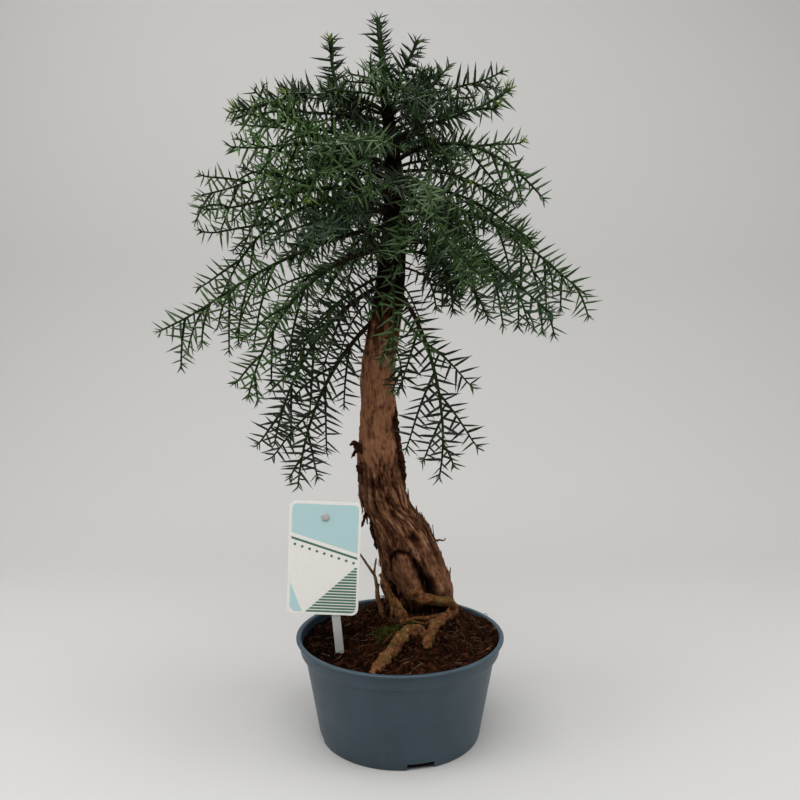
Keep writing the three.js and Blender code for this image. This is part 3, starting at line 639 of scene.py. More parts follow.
# Near black of the painted shade in cracks, pits, creases and under the crown, and the darkest tone of torn
# bark
BARK_PIT = "#0a0603"
BARK_DARK = "#2d150a"
BARK = "#4f3322"
BARK_PALE = "#78533b"
BARK_TIP = "#9b795d"
UPPER_DARK = "#3d2212"
UPPER = "#855b41"
UPPER_PALE = "#9a7050"
BARK_GLOSS = 0.06
BARK_FIBRE = 1.1
BARK_FIBRE_RUN = 9
BARK_PATCH = 4.5
FIBRE_DEPTH = 0.7
# How far fibres and patches tell in the bark's colour, and the sums that are its darkest and palest
FIBRE_WEIGHT = 0.5
PATCH_WEIGHT = 0.6
BARK_LEVELS = (0.55, 1.55)
# Tone of flat bark, and how much relief turns it fully pale, on shaggy and on clean bark: ridges get a painted
# highlight and hollows painted shade
SHAGGY_SHADE = (0.52, 3.6)
CLEAN_SHADE = (0.58, 4)
# Painted shade in pits up to a depth and in creases, a darker tone at the wound, and painted shade under the
# crown between two heights
PIT_SHADE = 0.1
PIT_DEEPEST = 3
CREASE_SHADE = 0.36
WOUND_SHADE = 0.08
CROWN_SHADE = 0.8
CROWN_SHADE_HEIGHTS = (322, 440)


def trunk_table(count=600):
    """Rows of x, y, height and radius along the smooth line through the trunk's measured places."""
    rows = np.array(TRUNK_LINE, float)
    ends = np.vstack([2 * rows[0] - rows[1], rows, 2 * rows[-1] - rows[-2]])
    t = np.linspace(0, len(rows) - 1, count)
    i = np.minimum(t.astype(int), len(rows) - 2)
    u = (t - i)[:, None]
    a, b, c, d = (ends[i + k] for k in range(4))
    return 0.5 * (2 * b + (c - a) * u + (2 * a - 5 * b + 4 * c - d) * u ** 2
                  + (3 * b - a - 3 * c + d) * u ** 3)


trunk_rows = trunk_table()


def trunk_at(height):
    """Middle point and radius of the trunk at a height."""
    x, y, radius = (np.interp(height, trunk_rows[:, 2], trunk_rows[:, k]) for k in (0, 1, 3))
    return np.stack([x, y, np.asarray(height, float)], -1), radius


def turn_between(heading, other):
    """Signed angle in degrees from one heading to another."""
    return (heading - other + 180) % 360 - 180


def hump(heading, height, lobe, level, wide, tall):
    """How near headings and heights lie to a place on the trunk, from 0 far off to 1 at it."""
    return np.exp(-((turn_between(heading, lobe) / wide) ** 2 + ((height - level) / tall) ** 2))


def crease(heading, height, width, places):
    """How deep headings and heights lie in a crease along places, from 0 beside it to 1 in its middle."""
    off = np.full(len(heading), np.inf)
    for (heading_a, height_a), (heading_b, height_b) in zip(places[:-1], places[1:]):
        run = np.array([math.radians(heading_b - heading_a) * CREASE_GIRTH, height_b - height_a])
        across = np.radians(turn_between(heading, heading_a)) * CREASE_GIRTH
        up = height - height_a
        share = np.clip((across * run[0] + up * run[1]) / (run @ run), 0, 1)
        off = np.minimum(off, np.hypot(across - share * run[0], up - share * run[1]))
    return np.exp(-(off / width) ** 2)


def trunk_form(heading, height):
    """Radius of the trunk at headings and heights, with its flare, swells, hollows and creases."""
    radius = trunk_at(height)[1]
    fade = 1 - smooth_step(SOIL_PEAK, SOIL_PEAK + FLARE_HEIGHT, height)
    for lobe, swell in FLARE_LOBES:
        radius = radius * (1 + fade * swell * np.exp(-(turn_between(heading, lobe) / FLARE_LOBE_WIDTH) ** 2))
    for depth, *place in TRUNK_FORMS:
        radius = radius + depth * hump(heading, height, *place)
    for depth, width, places in TRUNK_CREASES:
        radius = radius - depth * crease(heading, height, width, places)
    return radius


# Old conifer bark: long fibrous ridges with a painted highlight, near black with painted shade in the cracks,
# pits and creases and under the crown, and a cleaner red-brown bark above the wound
bark, tree, shader = new_material("fibrous conifer bark", Roughness=0.92, Specular_IOR_Level=BARK_GLOSS)
# The field named relief is the bark's tone with painted highlights on ridges and painted shade in cracks,
# pits, creases and under the crown
grain, relief, clean = (
    add(tree, "ShaderNodeAttribute", attribute_name=name).outputs[output]
    for name, output in [("grain", "Vector"), ("relief", "Fac"), ("clean", "Fac")])
along = add(tree, "ShaderNodeMapping", {"Vector": grain, "Scale": (1, 1, BARK_FIBRE / BARK_FIBRE_RUN)})
fibre = add(tree, "ShaderNodeTexNoise", {
    "Vector": along, "Scale": 1 / (BARK_FIBRE * MM), "Detail": 6, "Roughness": 0.65})
patch = add(tree, "ShaderNodeTexNoise", {
    "Vector": grain, "Scale": 1 / (BARK_PATCH * MM), "Detail": 5, "Roughness": 0.6})
mixed = add(tree, "ShaderNodeMath", {0: fibre, 1: FIBRE_WEIGHT, 2: relief}, operation="MULTIPLY_ADD")
level = add(tree, "ShaderNodeMath", {0: patch, 1: PATCH_WEIGHT, 2: mixed}, operation="MULTIPLY_ADD")
height = add(tree, "ShaderNodeMapRange", {
    "Value": level, "From Min": BARK_LEVELS[0], "From Max": BARK_LEVELS[1]})
old = add(tree, "ShaderNodeValToRGB", {"Fac": height})
blend_stops(old, [(0.05, BARK_PIT), (0.3, BARK_DARK), (0.52, BARK), (0.75, BARK_PALE), (0.97, BARK_TIP)])
young = add(tree, "ShaderNodeValToRGB", {"Fac": height})
blend_stops(young, [
    (0, BARK_PIT), (0.12, BARK_DARK), (0.28, UPPER_DARK), (0.55, UPPER), (0.85, UPPER_PALE)])
colour = add(tree, "ShaderNodeMix", {"Factor": clean, "A": old, "B": young}, data_type="RGBA")
bump = add(tree, "ShaderNodeBump", {"Height": fibre, "Strength": 1, "Distance": FIBRE_DEPTH * MM})
feed(shader, {"Base Color": colour, "Normal": bump})

# The trunk's skin, as one heading and one height for each of its points
levels = TRUNK_FOOT + (TRUNK_TIP - TRUNK_FOOT) * np.linspace(0, 1, TRUNK_RINGS) ** RING_CROWDING
level, heading = np.meshgrid(levels, np.linspace(0, 360, TRUNK_SIDES, endpoint=False), indexing="ij")
level = level.ravel()
heading = heading.ravel()
middle, girth = trunk_at(level)
out = np.stack([np.cos(np.radians(heading)), np.sin(np.radians(heading)), np.zeros(len(heading))], 1)
twist = np.radians(heading + GRAIN_TWIST * (level - SOIL_PEAK))
grain = np.stack([girth * np.cos(twist), girth * np.sin(twist), level], 1)
shag = 1 - smooth_step(SHAG_TOP - SHAG_FADE, SHAG_TOP, level + SHAG_WANDER * noise(grain, 9, 41))
wound = np.exp(-((level - WOUND[0]) / WOUND[1]) ** 2)
# The lobes' paler skin is partly their own smoother bark and partly a painted highlight where light falls on
# their bulge
lobe = np.zeros(len(level))
pale = np.zeros(len(level))
for paler, *place in LOBE_SKINS_AND_HIGHLIGHTS:
    near = hump(heading, level, *place)
    lobe = np.maximum(lobe, near)
    pale = np.maximum(pale, paler * near)

# The bark's relief: shaggy below with ropes along the right flank, and smoother on the lobes and above
shaggy = np.zeros(len(level))
smoother = np.zeros(len(level))
for name, (wide, long, seed, on_shaggy, on_clean) in BARK_FEATURES.items():
    feature = noise(grain, (wide, wide, long), seed, 2)
    if name == "plates":
        feature = smooth_step(*PLATE_EDGE, feature) - 0.5
    if name == "cracks":
        feature = 1 - smooth_step(*CRACK_EDGE, np.abs(feature))
    shaggy += on_shaggy * feature
    smoother += on_clean * feature
shaggy += TORN_RELIEF * wound * noise(grain, (3, 3, 5), 47, 2)
flank = np.exp(-(turn_between(heading, ROPE_FLANK[0]) / ROPE_FLANK[1]) ** 2)
flank *= smooth_step(*ROPE_FOOT, level) * (1 - smooth_step(*ROPE_TOP, level)) * (1 - lobe)
flank *= smooth_step(*ROPE_BREAKS, noise(grain, (11, 11, 24), 50))
wander = ROPE_WANDER * noise(grain, (8, 8, 22), 49, 2)
ropes = 2 * np.abs(np.sin(np.pi * (twist * ROPE_GIRTH + wander) / ROPE_PITCH)) ** 0.6 - 1
shaggy = (1 - 0.35 * flank) * shaggy + ROPE_RELIEF * flank * (ropes - 0.2)
relief = shag * (1 - LOBE_SMOOTHED * lobe) * shaggy + (1 - shag) * smoother
lump = LUMP_RELIEF * noise(grain, (17, 17, 30), 46, 2) * np.clip(girth / 20, 0.2, 1)
reach = trunk_form(heading, level) + lump + relief * np.clip(girth / 14, 0.35, 1.15)
trunk_points = middle + out * np.maximum(reach, LEAST_RADIUS)[:, None]

# The bark's tone with painted light: a painted highlight on ridges, painted shade in hollows, pits and
# creases, darker at the wound, paler on the lobes, and painted shade under the crown
shade = np.where(shag > 0.5, SHAGGY_SHADE[0] + relief / SHAGGY_SHADE[1],
                 CLEAN_SHADE[0] + relief / CLEAN_SHADE[1]) - WOUND_SHADE * wound + pale
for depth, *place in TRUNK_FORMS:
    if depth < 0:
        shade = shade - PIT_SHADE * min(-depth, PIT_DEEPEST) * hump(heading, level, *place)
for depth, width, places in TRUNK_CREASES:
    shade = shade - CREASE_SHADE * crease(heading, level, width, places)
shade = np.clip(shade - CROWN_SHADE * smooth_step(*CROWN_SHADE_HEIGHTS, level), 0, 1)
edge = np.abs(np.cos(np.radians(heading))) ** 3
flaking = shag * (1 - lobe) * np.clip(0.12 + wound + 0.5 * edge, 0, 1)
# The field named relief carries this tone, with its painted light and shade, to the bark's material
skin_fields = {"grain": grain * MM, "relief": shade, "clean": 1 - shag, "flaking": flaking}
trunk_mesh = new_mesh(
    "trunk", np.vstack([trunk_at(TRUNK_FOOT)[0], trunk_points, trunk_at(TRUNK_TIP)[0]]),
    ring_faces(TRUNK_RINGS, TRUNK_SIDES),
    fields={key: np.concatenate([values[:1], values, values[-1:]]) for key, values in skin_fields.items()})
new_piece("trunk_bark", trunk_mesh, "bark", "trunk", material=bark)

# Roots and dead wood
# Old surface roots that leave the flare and run half sunk through the soil, and a bare twig beside it.
# Broken stubs and curls of loose bark still hang on the lower trunk.

ROOT_PROUD = 0.3
# Roots on the soil, as places and radii
SOIL_ROOTS = [
    [(50, 20, 5), (47, 11, 4.2), (43, 3, 5), (37, -7, 4), (31, -14, 5), (28, -23, 4.2), (26, -33, 4.8),
     (23.5, -40, 3.8), (22, -46, 2.6)],
    [(24, -29, 3), (17, -25, 5.6), (9, -25.5, 6.2), (3, -31.5, 5.2), (-2.5, -41, 5.8), (-8.5, -50, 4.6),
     (-14, -60, 5.6), (-19, -69, 4.6), (-24, -77, 2.4)],
]
# Legs of the flare, from the trunk down to the soil, as x, y, height and radius
FLARE_LEGS = [
    [(5, 16, 141, 9), (9, 8, 134, 9), (14, 2, 128.5, 7.6), (22, -1, 124.5, 5.4), (33, 1, 122.5, 4.6),
     (43, 7, 119, 5), (48, 14, 112, 5.2), (49, 19, 104, 5)],
    [(-17, 22, 140, 2.6), (-14, 12, 132, 3), (-8, 4, 124, 3.8), (-1, -2, 114, 5.6), (3, -5, 104, 6.6),
     (5, -7, 97, 6)],
]
# Thin roots over the flare, bare twigs, and the stubs and torn strips of bark, in the same way
STRAND_LINES = [
    [(-15, 6, 134, 1.2), (-9, 0, 125, 1.5), (-7.5, -4, 117, 1.5), (-8, -6, 106, 1.3)],
    [(-21, 18, 132, 2), (-21, 10, 122, 1.9), (-17, 6, 112, 1.8), (-15, 2, 102, 1.6)],
    [(49, 14, 118, 1.2), (44, 4, 112, 1.1), (36, -4, 108, 1), (26, -9, 105, 0.9), (14, -12, 104, 0.8)],
    [(46, 6, 113, 1), (41, -6, 108, 1), (35, -16, 105, 0.8), (32, -26, 101, 0.7)],
    [(6, -8, 105, 0.9), (16, -11, 106, 0.8), (24, -14, 105, 0.7)],
    [(2, -8, 106, 2.4), (14, -6, 107.5, 1.8), (27, -2, 107, 1.9), (40, 6, 108, 1.5)],
]
TWIG_LINES = [
    [(-17, 10, 104, 2), (-20, 9, 122, 1.8), (-23, 8, 142, 1.5), (-27, 8, 149, 1.3), (-37, 8, 164, 0.8)],
    [(-24, 8, 144, 1.2), (-23, 8, 153, 1), (-22, 8, 160, 0.6)],
    [(28, 24, 170, 1.3), (36, 23, 173, 1), (41, 23, 172.5, 0.8), (43, 23, 175, 0.4)],
]
STUB_LINES = [
    [(-31, 9, 259, 3.8), (-37, 6, 263, 3.6), (-42, 4, 268, 2.6), (-45, 3, 266, 0.8)],
    [(-36, 6, 263, 2.2), (-41, 4, 259, 1.6), (-44, 4, 254, 0.5)],
    [(-32, 9, 240, 3), (-37, 6, 243, 2.2), (-40, 5, 247, 0.8)],
    [(-5, 8, 308, 0.8), (-4, 9, 294, 2.2), (-2.5, 9, 278, 2), (-1, 10, 263, 2.8), (2, 12, 247, 2.4),
     (5, 14, 232, 1)],
    [(-28, 20, 207, 0.7), (-28, 19, 197, 1.3), (-25, 19, 179, 1.6), (-22, 18, 165, 0.9)],
    [(-31, 18, 201, 1), (-34, 16, 193, 1.2), (-37, 15, 186, 0.4)],
]
# How limbs are made: sides, pitch along them, and the height and size of their relief
ROOT_SKIN = (28, 0.9, 2.7, 6)
LEG_SKIN = (36, 1, 2.4, 8)
STRAND_SKIN = (9, 1.5, 0.4, 4)
TWIG_SKIN = (9, 1.5, 0.25, 3)
STUB_SKIN = (14, 0.9, 1.9, 3.5)
ROOT_DARK = "#22120a"
ROOT_BROWN = "#52331d"
ROOT_PALE = "#87603e"
ROOT_WRINKLE = 3.4
TWIG_BROWN = "#5d4630"
TWIG_PALE = "#8a7354"
TWIG_WRINKLE = 2.4
TORN_WRINKLE = 2.6
ALGAE = "#4f4a20"
ALGAE_PATCH = 14
ALGAE_COVER = 0.6
FLAKE_LENGTH = 19
FLAKE_WIDTH = 2.2
FLAKE_THICKNESS = 0.5
FLAKE_CURL = 3.2
FLAKE_DENSITY = 14000
FLAKE_SIZES = (0.35, 1.2)

limb_tree, given, result = new_node_tree(
    "limbs along lines", Sides="Int", Pitch="Float", Relief="Float", Relief_size="Float", Finish="Material")
lines = add(limb_tree, "GeometryNodeMeshToCurve", {"Mesh": given["Geometry"]})
curved = add(limb_tree, "GeometryNodeCurveSplineType", {"Curve": lines}, spline_type="CATMULL_ROM")
even = add(limb_tree, "GeometryNodeResampleCurve", {"Curve": curved, "Length": given["Pitch"]}, mode="LENGTH")
girth = add(limb_tree, "GeometryNodeInputNamedAttribute", {"Name": "girth"}, data_type="FLOAT")
ring = add(limb_tree, "GeometryNodeCurvePrimitiveCircle", {"Resolution": given["Sides"], "Radius": 1})
skin = add(limb_tree, "GeometryNodeCurveToMesh", {
    "Curve": even, "Profile Curve": ring, "Scale": girth, "Fill Caps": True})
finer = add(limb_tree, "ShaderNodeMath", {0: 1, 1: given["Relief size"]}, operation="DIVIDE")
bumps = add(limb_tree, "ShaderNodeTexNoise", {
    "Vector": add(limb_tree, "GeometryNodeInputPosition"), "Scale": finer, "Detail": 4})
rise = add(limb_tree, "ShaderNodeMapRange", {
    "Value": bumps, "From Min": 0.2, "From Max": 0.8, "To Min": -1, "To Max": 1})
height = add(limb_tree, "ShaderNodeMath", {0: rise, 1: given["Relief"]}, operation="MULTIPLY")
push = add(limb_tree, "ShaderNodeVectorMath", {
    0: add(limb_tree, "GeometryNodeInputNormal"), "Scale": height}, operation="SCALE")
rough = add(limb_tree, "GeometryNodeSetPosition", {"Geometry": skin, "Offset": push})
soft = add(limb_tree, "GeometryNodeSetShadeSmooth", {"Geometry": rough})
end_tree(limb_tree, soft, given["Finish"], result)


def line_edges(lines):
    """Edges from point to point along each of some lines whose points are numbered on."""
    ends = np.cumsum([0] + [len(line) for line in lines])
    return [(i, i + 1) for a, b in zip(ends[:-1], ends[1:]) for i in range(a, b - 1)]


def new_limbs(name, lines, skin, material, slot, *nodes):
    """A piece of limbs along lines of x, y, height and radius, in the place of the named solids."""
    sides, pitch, relief, relief_size = skin
    rows = np.vstack(lines)
    bones = new_mesh(name, rows[:, :3], edges=line_edges(lines), fields={"girth": rows[:, 3] * MM})
    mesh = made_by(limb_tree, bones, Sides=sides, Pitch=pitch * MM, Relief=relief * MM,
                   Relief_size=relief_size * MM, Finish=material)
    new_piece(name, mesh, slot, *nodes)


def bark_material(name, wrinkle, depth, stops, algae=0):
    """A dull bark with dark wrinkles, coloured by its stops from hollow to crest, and algae on it."""
    material, tree, shader = new_material(name, Roughness=0.9, Specular_IOR_Level=BARK_GLOSS)
    place = add(tree, "ShaderNodeTexCoord").outputs["Object"]
    ridge, tint = tinted(tree, place, wrinkle, stops, Detail=7, Roughness=0.68, Distortion=0.6)
    growth = add(tree, "ShaderNodeTexNoise", {"Vector": place, "Scale": 1 / (ALGAE_PATCH * MM), "Detail": 5})
    film = add(tree, "ShaderNodeMapRange", {
        "Value": growth, "From Min": 0.48, "From Max": 0.66, "To Max": algae})
    colour = add(tree, "ShaderNodeMix", {"Factor": film, "A": tint, "B": linear(ALGAE)}, data_type="RGBA")
    bump = add(tree, "ShaderNodeBump", {"Height": ridge, "Strength": 0.9, "Distance": depth * MM})
    feed(shader, {"Base Color": colour, "Normal": bump})
    return material


# Root bark: thinner and more ochre than the trunk's, with close wrinkles
root_bark = bark_material("ochre root bark", ROOT_WRINKLE, depth=0.9, stops=[
    (0.3, ROOT_DARK), (0.5, ROOT_BROWN), (0.72, ROOT_PALE)], algae=ALGAE_COVER)
soil_roots = []
for root in SOIL_ROOTS:
    x, y, radius = np.array(root, float).T
    soil_roots.append(np.column_stack([x, y, soil_height(x, y) + ROOT_PROUD * radius, radius]))
new_limbs("surface_roots", soil_roots, ROOT_SKIN, root_bark, "bark", "surface_root")
new_limbs("flare_legs", FLARE_LEGS, LEG_SKIN, root_bark, "bark")
new_limbs("root_strands", STRAND_LINES, STRAND_SKIN, root_bark, "bark")

# Dead wood: bare of bark, grey-brown and dull
dead_wood = bark_material("dead twig wood", TWIG_WRINKLE, depth=0.4, stops=[
    (0.3, ROOT_DARK), (0.5, TWIG_BROWN), (0.7, TWIG_PALE)])
new_limbs("bare_twig", TWIG_LINES, TWIG_SKIN, dead_wood, "dead_wood", "dead_twig")
# Torn bark: near black, rough and frayed
stub_bark = bark_material("torn bark", TORN_WRINKLE, depth=1, stops=[
    (0.3, BARK_PIT), (0.5, BARK_DARK), (0.72, BARK)])
new_limbs("broken_stubs", STUB_LINES, STUB_SKIN, stub_bark, "bark")

# Loose bark: thin strips that stand off the trunk along its grain, paler than the bark under them
share = np.linspace(0, 1, 6)[:, None, None]
side = np.array([-1, 1, 1, -1])[None, :, None] * FLAKE_WIDTH / 2 * (0.35 + np.sin(np.pi * share))
depth = np.array([1, 1, 0, 0])[None, :, None] * FLAKE_THICKNESS
depth = depth + FLAKE_CURL * np.abs(share - 0.35) ** 1.5 + 0.2
run = FLAKE_LENGTH * (share - 0.5)
flake_rings = np.concatenate(np.broadcast_arrays(run, side, depth), 2).reshape(-1, 3)
flake_points = np.vstack([flake_rings[:4].mean(0), flake_rings, flake_rings[-4:].mean(0)])
flake_bark = bark_material("loose bark", TORN_WRINKLE, depth=0.6, stops=[
    (0.3, BARK_DARK), (0.5, BARK), (0.72, BARK_PALE)])
flake_shape = shape_to_strew("bark_flake", flake_points, ring_faces(6, 4))
peel_tree = scatter_tree("bark peeling off the trunk", upright=True)
flakes = strewn_over(trunk_mesh, peel_tree, flake_shape, "flaking", FLAKE_DENSITY, FLAKE_SIZES, lean=0.16,
                     seed=6, material=flake_bark)
new_piece("loose_bark", flakes, "bark")
bpy.data.objects.remove(flake_shape)

# Boughs and sprays
# Boughs leave the trunk all round, the upper ones rising and the lower ones hanging, and bear side shoots
# by turns left and right. Stiff, pointed needles stand round every shoot, shorter and yellower at its tip.

# Height on the trunk, heading, length, rise at the trunk and at the tip, and the spray's roll
BOUGHS = {
    "left_top": (540, 172, 108, 5, 100, 0),
    "left_upper": (524, 194, 140, 18, 2, 30),
    "left_front_upper": (510, 213, 152, 25, -24, 40),
    "left_high": (500, 168, 190, 26, -30, 35),
    "left_mid": (490, 192, 165, 11, -26, 30),
    "left_arch": (474, 172, 202, 31, -74, 25),
    "left_far": (462, 186, 226, -8, -42, 0),
    "left_drop": (440, 206, 196, 2, -80, 55),
    "left_low": (412, 203, 184, -16, -82, 60),
    "left_hang": (388, 192, 182, -34, -86, 65),
    "right_top": (564, 322, 58, 45, 56, 0),
    "right_crest": (552, 338, 68, 36, 30, 0),
    "right_upper": (530, 348, 112, 26, 14, 30),
    "right_high": (514, 342, 152, 40, -62, 35),
    "right_far": (480, 3, 198, 9, -54, 25),
    "right_mid": (446, 345, 160, 10, -55, 0),
    "right_low": (426, 334, 76, 0, -52, 0),
    "right_hang": (412, 328, 186, -40, -98, 75),
    "right_spur": (375, 300, 62, -40, -82, 0),
    "front_hang": (428, 268, 118, -10, -86, 0),
    "front_left": (519, 244, 132, 18, -30, 0),
    "front_mid": (488, 279, 140, 16, -36, 0),
    "front_right": (458, 312, 134, 8, -50, 0),
    "front_low": (472, 219, 132, 5, -30, 0),
    "crown_left": (554, 204, 98, 18, -6, 0),
    "crown_front": (560, 262, 76, 30, -5, 0),
    "crown_right": (544, 304, 86, 24, -10, 0),
    "crown_back": (558, 70, 88, 28, -8, 0),
    "back_upper": (528, 96, 140, 28, -25, 0),
    "back_right": (472, 55, 172, 15, -48, 0),
    "back_left": (488, 112, 180, 14, -48, 0),
    "back_low": (430, 98, 165, 0, -68, 0),
    "back_side": (444, 150, 170, 5, -55, 0),
}
STEP = 4
BEND = 0.8
TIP_LIFT = 22
TIP_LIFT_FROM = 0.7
SWAY = 14
SWAY_TURNS = 0.75
BOUGH_RADII = (2.3, 0.8)
FULL_RADIUS_LENGTH = 160
BOUGH_WOOD = 0.3
BOUGH_SKIN = (8, 3, 0.35, 3)
BARE_AT_TRUNK = 14

# Side shoots: first place and pitch on the stem, longest, share of the stem left, and extra length
SIDE_RULES = {
    "main": (34, 37, 95, 0.55, 22),
    "between": (24, 62, 82, 0.5, 18),
    "weeping": (38, 27, 56, 0.32, 26),
    "outer": (104, 37, 95, 0.5, 26),
    "trailing": (112, 22, 70, 0.36, 30),
    "hanging": (47, 22, 60, 0.46, 18),
    "fine": (18, 27, 34, 0.45, 10),
}
# Boughs whose side shoots aren't the usual ones: full ones in the light, thin ones in the shade, and plumes
USUAL_RULES = ("main", "between")
BOUGH_RULES = {
    "left_far": ("outer", "trailing"),
    "right_far": ("main", "between", "weeping"),
    **dict.fromkeys(("left_front_upper", "left_high", "right_high", "right_mid", "front_left", "front_mid"),
                    ("main", "weeping")),
    **dict.fromkeys(("left_mid", "front_right", "right_low", "back_left", "back_side", "back_low"),
                    ("main",)),
    **dict.fromkeys(("right_upper", "crown_left"), ("fine", "fine")),
}
# Boughs that end steeper than these rises hang or stand upright, with side shoots of their own kind
HANGING_FALL = -70
UPRIGHT_FALL = 50
SIDE_SIZES = (0.65, 1.25)
SIDE_SPREAD = (36, 56)
SIDE_LAST = 0.92
# How far side shoots stray along the stem at one pitch of theirs, and in proportion at others
SIDE_JITTER = 8
JITTER_PITCH = 31
# Side shoots droop more on the lower boughs: heights, and how far they turn down there
DROOP_HEIGHTS = (400, 560)
SIDE_DROOPS = (58, 8)
SIDE_DROOP_JITTER = 24
STEEPEST = -88
WEEPING_SIDE = 0.5
HANGING_DROOP = 0.4
HANGING_SPREAD = 0.78
FINE_FROM_LENGTH = 44
SHOOT_RADII = (1.3, 0.7)
FINE_RADII = (1, 0.6)
SHOOT_SKIN = (5, 4, 0, 3)
# Short needles, made dark with the painted shade of the shade_green kind, stand in close ranks round the top
# points of an upright shoot
UPRIGHT_TOP = 13
UPRIGHT_TIP = 1.6
UPRIGHT_NEEDLES = (0.75, 0.56)
UPRIGHT_RANKS = 2

# Thinner boughs between the others: height, heading, length, and rise at the trunk and at the tip
TWIGS = [
    (506, 352, 112, 14, -42), (556, 348, 104, 26, 4), (556, 204, 142, 28, -36), (420, 212, 140, -12, -66),
    (438, 352, 112, 14, -75), (492, 352, 130, 12, -50), (520, 215, 120, 14, -4), (548, 196, 94, 12, -6)]
TWIG_RADII = (1.6, BOUGH_RADII[1])
HANGING_TWIGS = -60
# Short shoots that fill the crown close to the trunk, from its lowest to its highest
INNER_COUNT = 30
# Inner shoots below this share of the way up bear the near black shade_deep needles, as painted shade in the
# crown's core
INNER_SHADE = 0.75
INNER_HEIGHTS = (456, 574)
INNER_LENGTHS = (100, 40)
INNER_SIZES = (0.7, 1.2)
INNER_RISES = (0, 52)
INNER_RISE_JITTER = 24
INNER_BENDS = (78, 26)
LEADER_FROM = 520
LEADER_TOP = (-19, 0, 636)
LEADER_POINTS = 24
LEADER_RADII = (4.8, 2)
# Seeds that keep the draws of twigs, inner shoots, rules and fine shoots apart
TWIG_SEED = 800
INNER_SEED = 500
RULE_SEED = 100
FINE_SEED = 300

# A needle's four-sided rings, as places along it and shares of its breadth
NEEDLE_RINGS = [(0.08, 0.9), (0.5, 0.85)]
NEEDLE_KEEL = 0.8
NEEDLE_TILT = 70
NEEDLE_TURN = 137.5
RANK_TURN = 180
NEEDLE_NOD = 0.3
NEEDLE_SIZES = (0.72, 1.15)
NEEDLE_SEED = 50
# Size of the needles on side shoots and on fine shoots, and where those begin
SIDE_NEEDLES = (0.92, 3)
FINE_NEEDLES = (0.68, 2)
FOOT_TAPER = 16
FOOT_SIZE = 0.7
# Needles by the light they grew in: colour, length, breadth as a share of it, spacing, lowest bough that
# bears them, turn and stray. The colours carry painted light and shade besides their own green: the crest and
# the kinds lower in the crown are darker, partly as the real darker green of shade needles and partly with
# painted shade, and the pale ones on the boughs that face the window are lightened with painted light. The
# pale ones go by heading, so no bough is as high as their row says
NEEDLE_KINDS = {
    "crest": ("#203116", 18.5, 0.128, 1.95, 538, NEEDLE_TURN, 0.4),
    "sun_green": ("#314824", 20, 0.125, 2.45, 505, NEEDLE_TURN, 0.5),
    "sun_bright": ("#445e2e", 20.5, 0.125, 2.45, 505, NEEDLE_TURN, 0.5),
    "mid_green": ("#344b23", 20, 0.122, 3.3, 436, RANK_TURN, 1.1),
    "mid_blue": ("#2b3f29", 20.5, 0.122, 3.3, 436, RANK_TURN, 1.1),
    "front_pale": ("#405631", 18, 0.125, 2.8, 1000, NEEDLE_TURN, 0.5),
    "shade_deep": ("#131f0b", 22, 0.12, 3.3, 0, RANK_TURN, 0.9),
    "shade_green": ("#172510", 22, 0.12, 3.3, 0, RANK_TURN, 0.9),
}
# Needles in two ranks lie across the way to the window. The boughs that face it, whose needles are lightened
# with painted light, have a middle heading, and a furthest turn from it
WINDOW = (0, -1, 0)
FRONT = (265, 30)
# Tufts at the tips of shoots, some of them young and yellow on the boughs in the sun
TIP_GREENS = {"tip_green": "#2c441b", "tip_young": "#5c6e26"}
YOUNG_KINDS = ("crest", "sun_green", "sun_bright")
YOUNG_SHARE = 0.4
TIP_TILT = 42
TIP_LENGTH = 7
TIP_OVERLAP = 0.4
TIP_TAPER = 17
TIP_SIZE = 0.62
TIP_SIZES = (10, 16)
TIP_SPACING = 0.8
TIP_BREADTH = 0.18
TIP_STRAY = 0.3
TIP_NOD = 0.2
TIP_SEED = 60
NEEDLE_BLOOM = 2.5
NEEDLE_GLOSS = (0.34, 0.6)
SHOOT_DARK = "#19230f"
SHOOT_GREEN = "#26351b"
SHOOT_WRINKLE = 6
BOUGH_DARK = "#17120c"
BOUGH_BROWN = "#241d12"
BOUGH_PALE = "#372e1d"
BOUGH_WRINKLE = 2.2


def rand(i, j=0, k=0):
    """A repeatable number from 0 to 1 for each set of whole numbers."""
    value = math.sin(i * 12.9898 + j * 78.233 + k * 37.719) * 43758.5453
    return value - math.floor(value)


def aim(heading, rise):
    """Unit vectors of headings and rises in degrees."""
    heading, rise = np.radians(heading), np.radians(rise)
    return np.stack([np.cos(rise) * np.cos(heading), np.cos(rise) * np.sin(heading), np.sin(rise)], -1)


def shoot_line(start, heading, length, rise, fall, sway=0):
    """Points of a shoot that leaves at one rise, bends to another, and lifts again at its tip."""
    steps = max(3, round(length / STEP))
    share = (np.arange(steps) + 0.5) / steps
    lift = TIP_LIFT * math.cos(math.radians(fall)) * smooth_step(TIP_LIFT_FROM, 1, share)
    bend = rise + (fall - rise) * share ** BEND + lift
    turn = heading + sway * np.sin(2 * np.pi * SWAY_TURNS * share)
    run = np.cumsum(aim(turn, bend) * (length / steps), axis=0)
    return np.vstack([start, start + run])


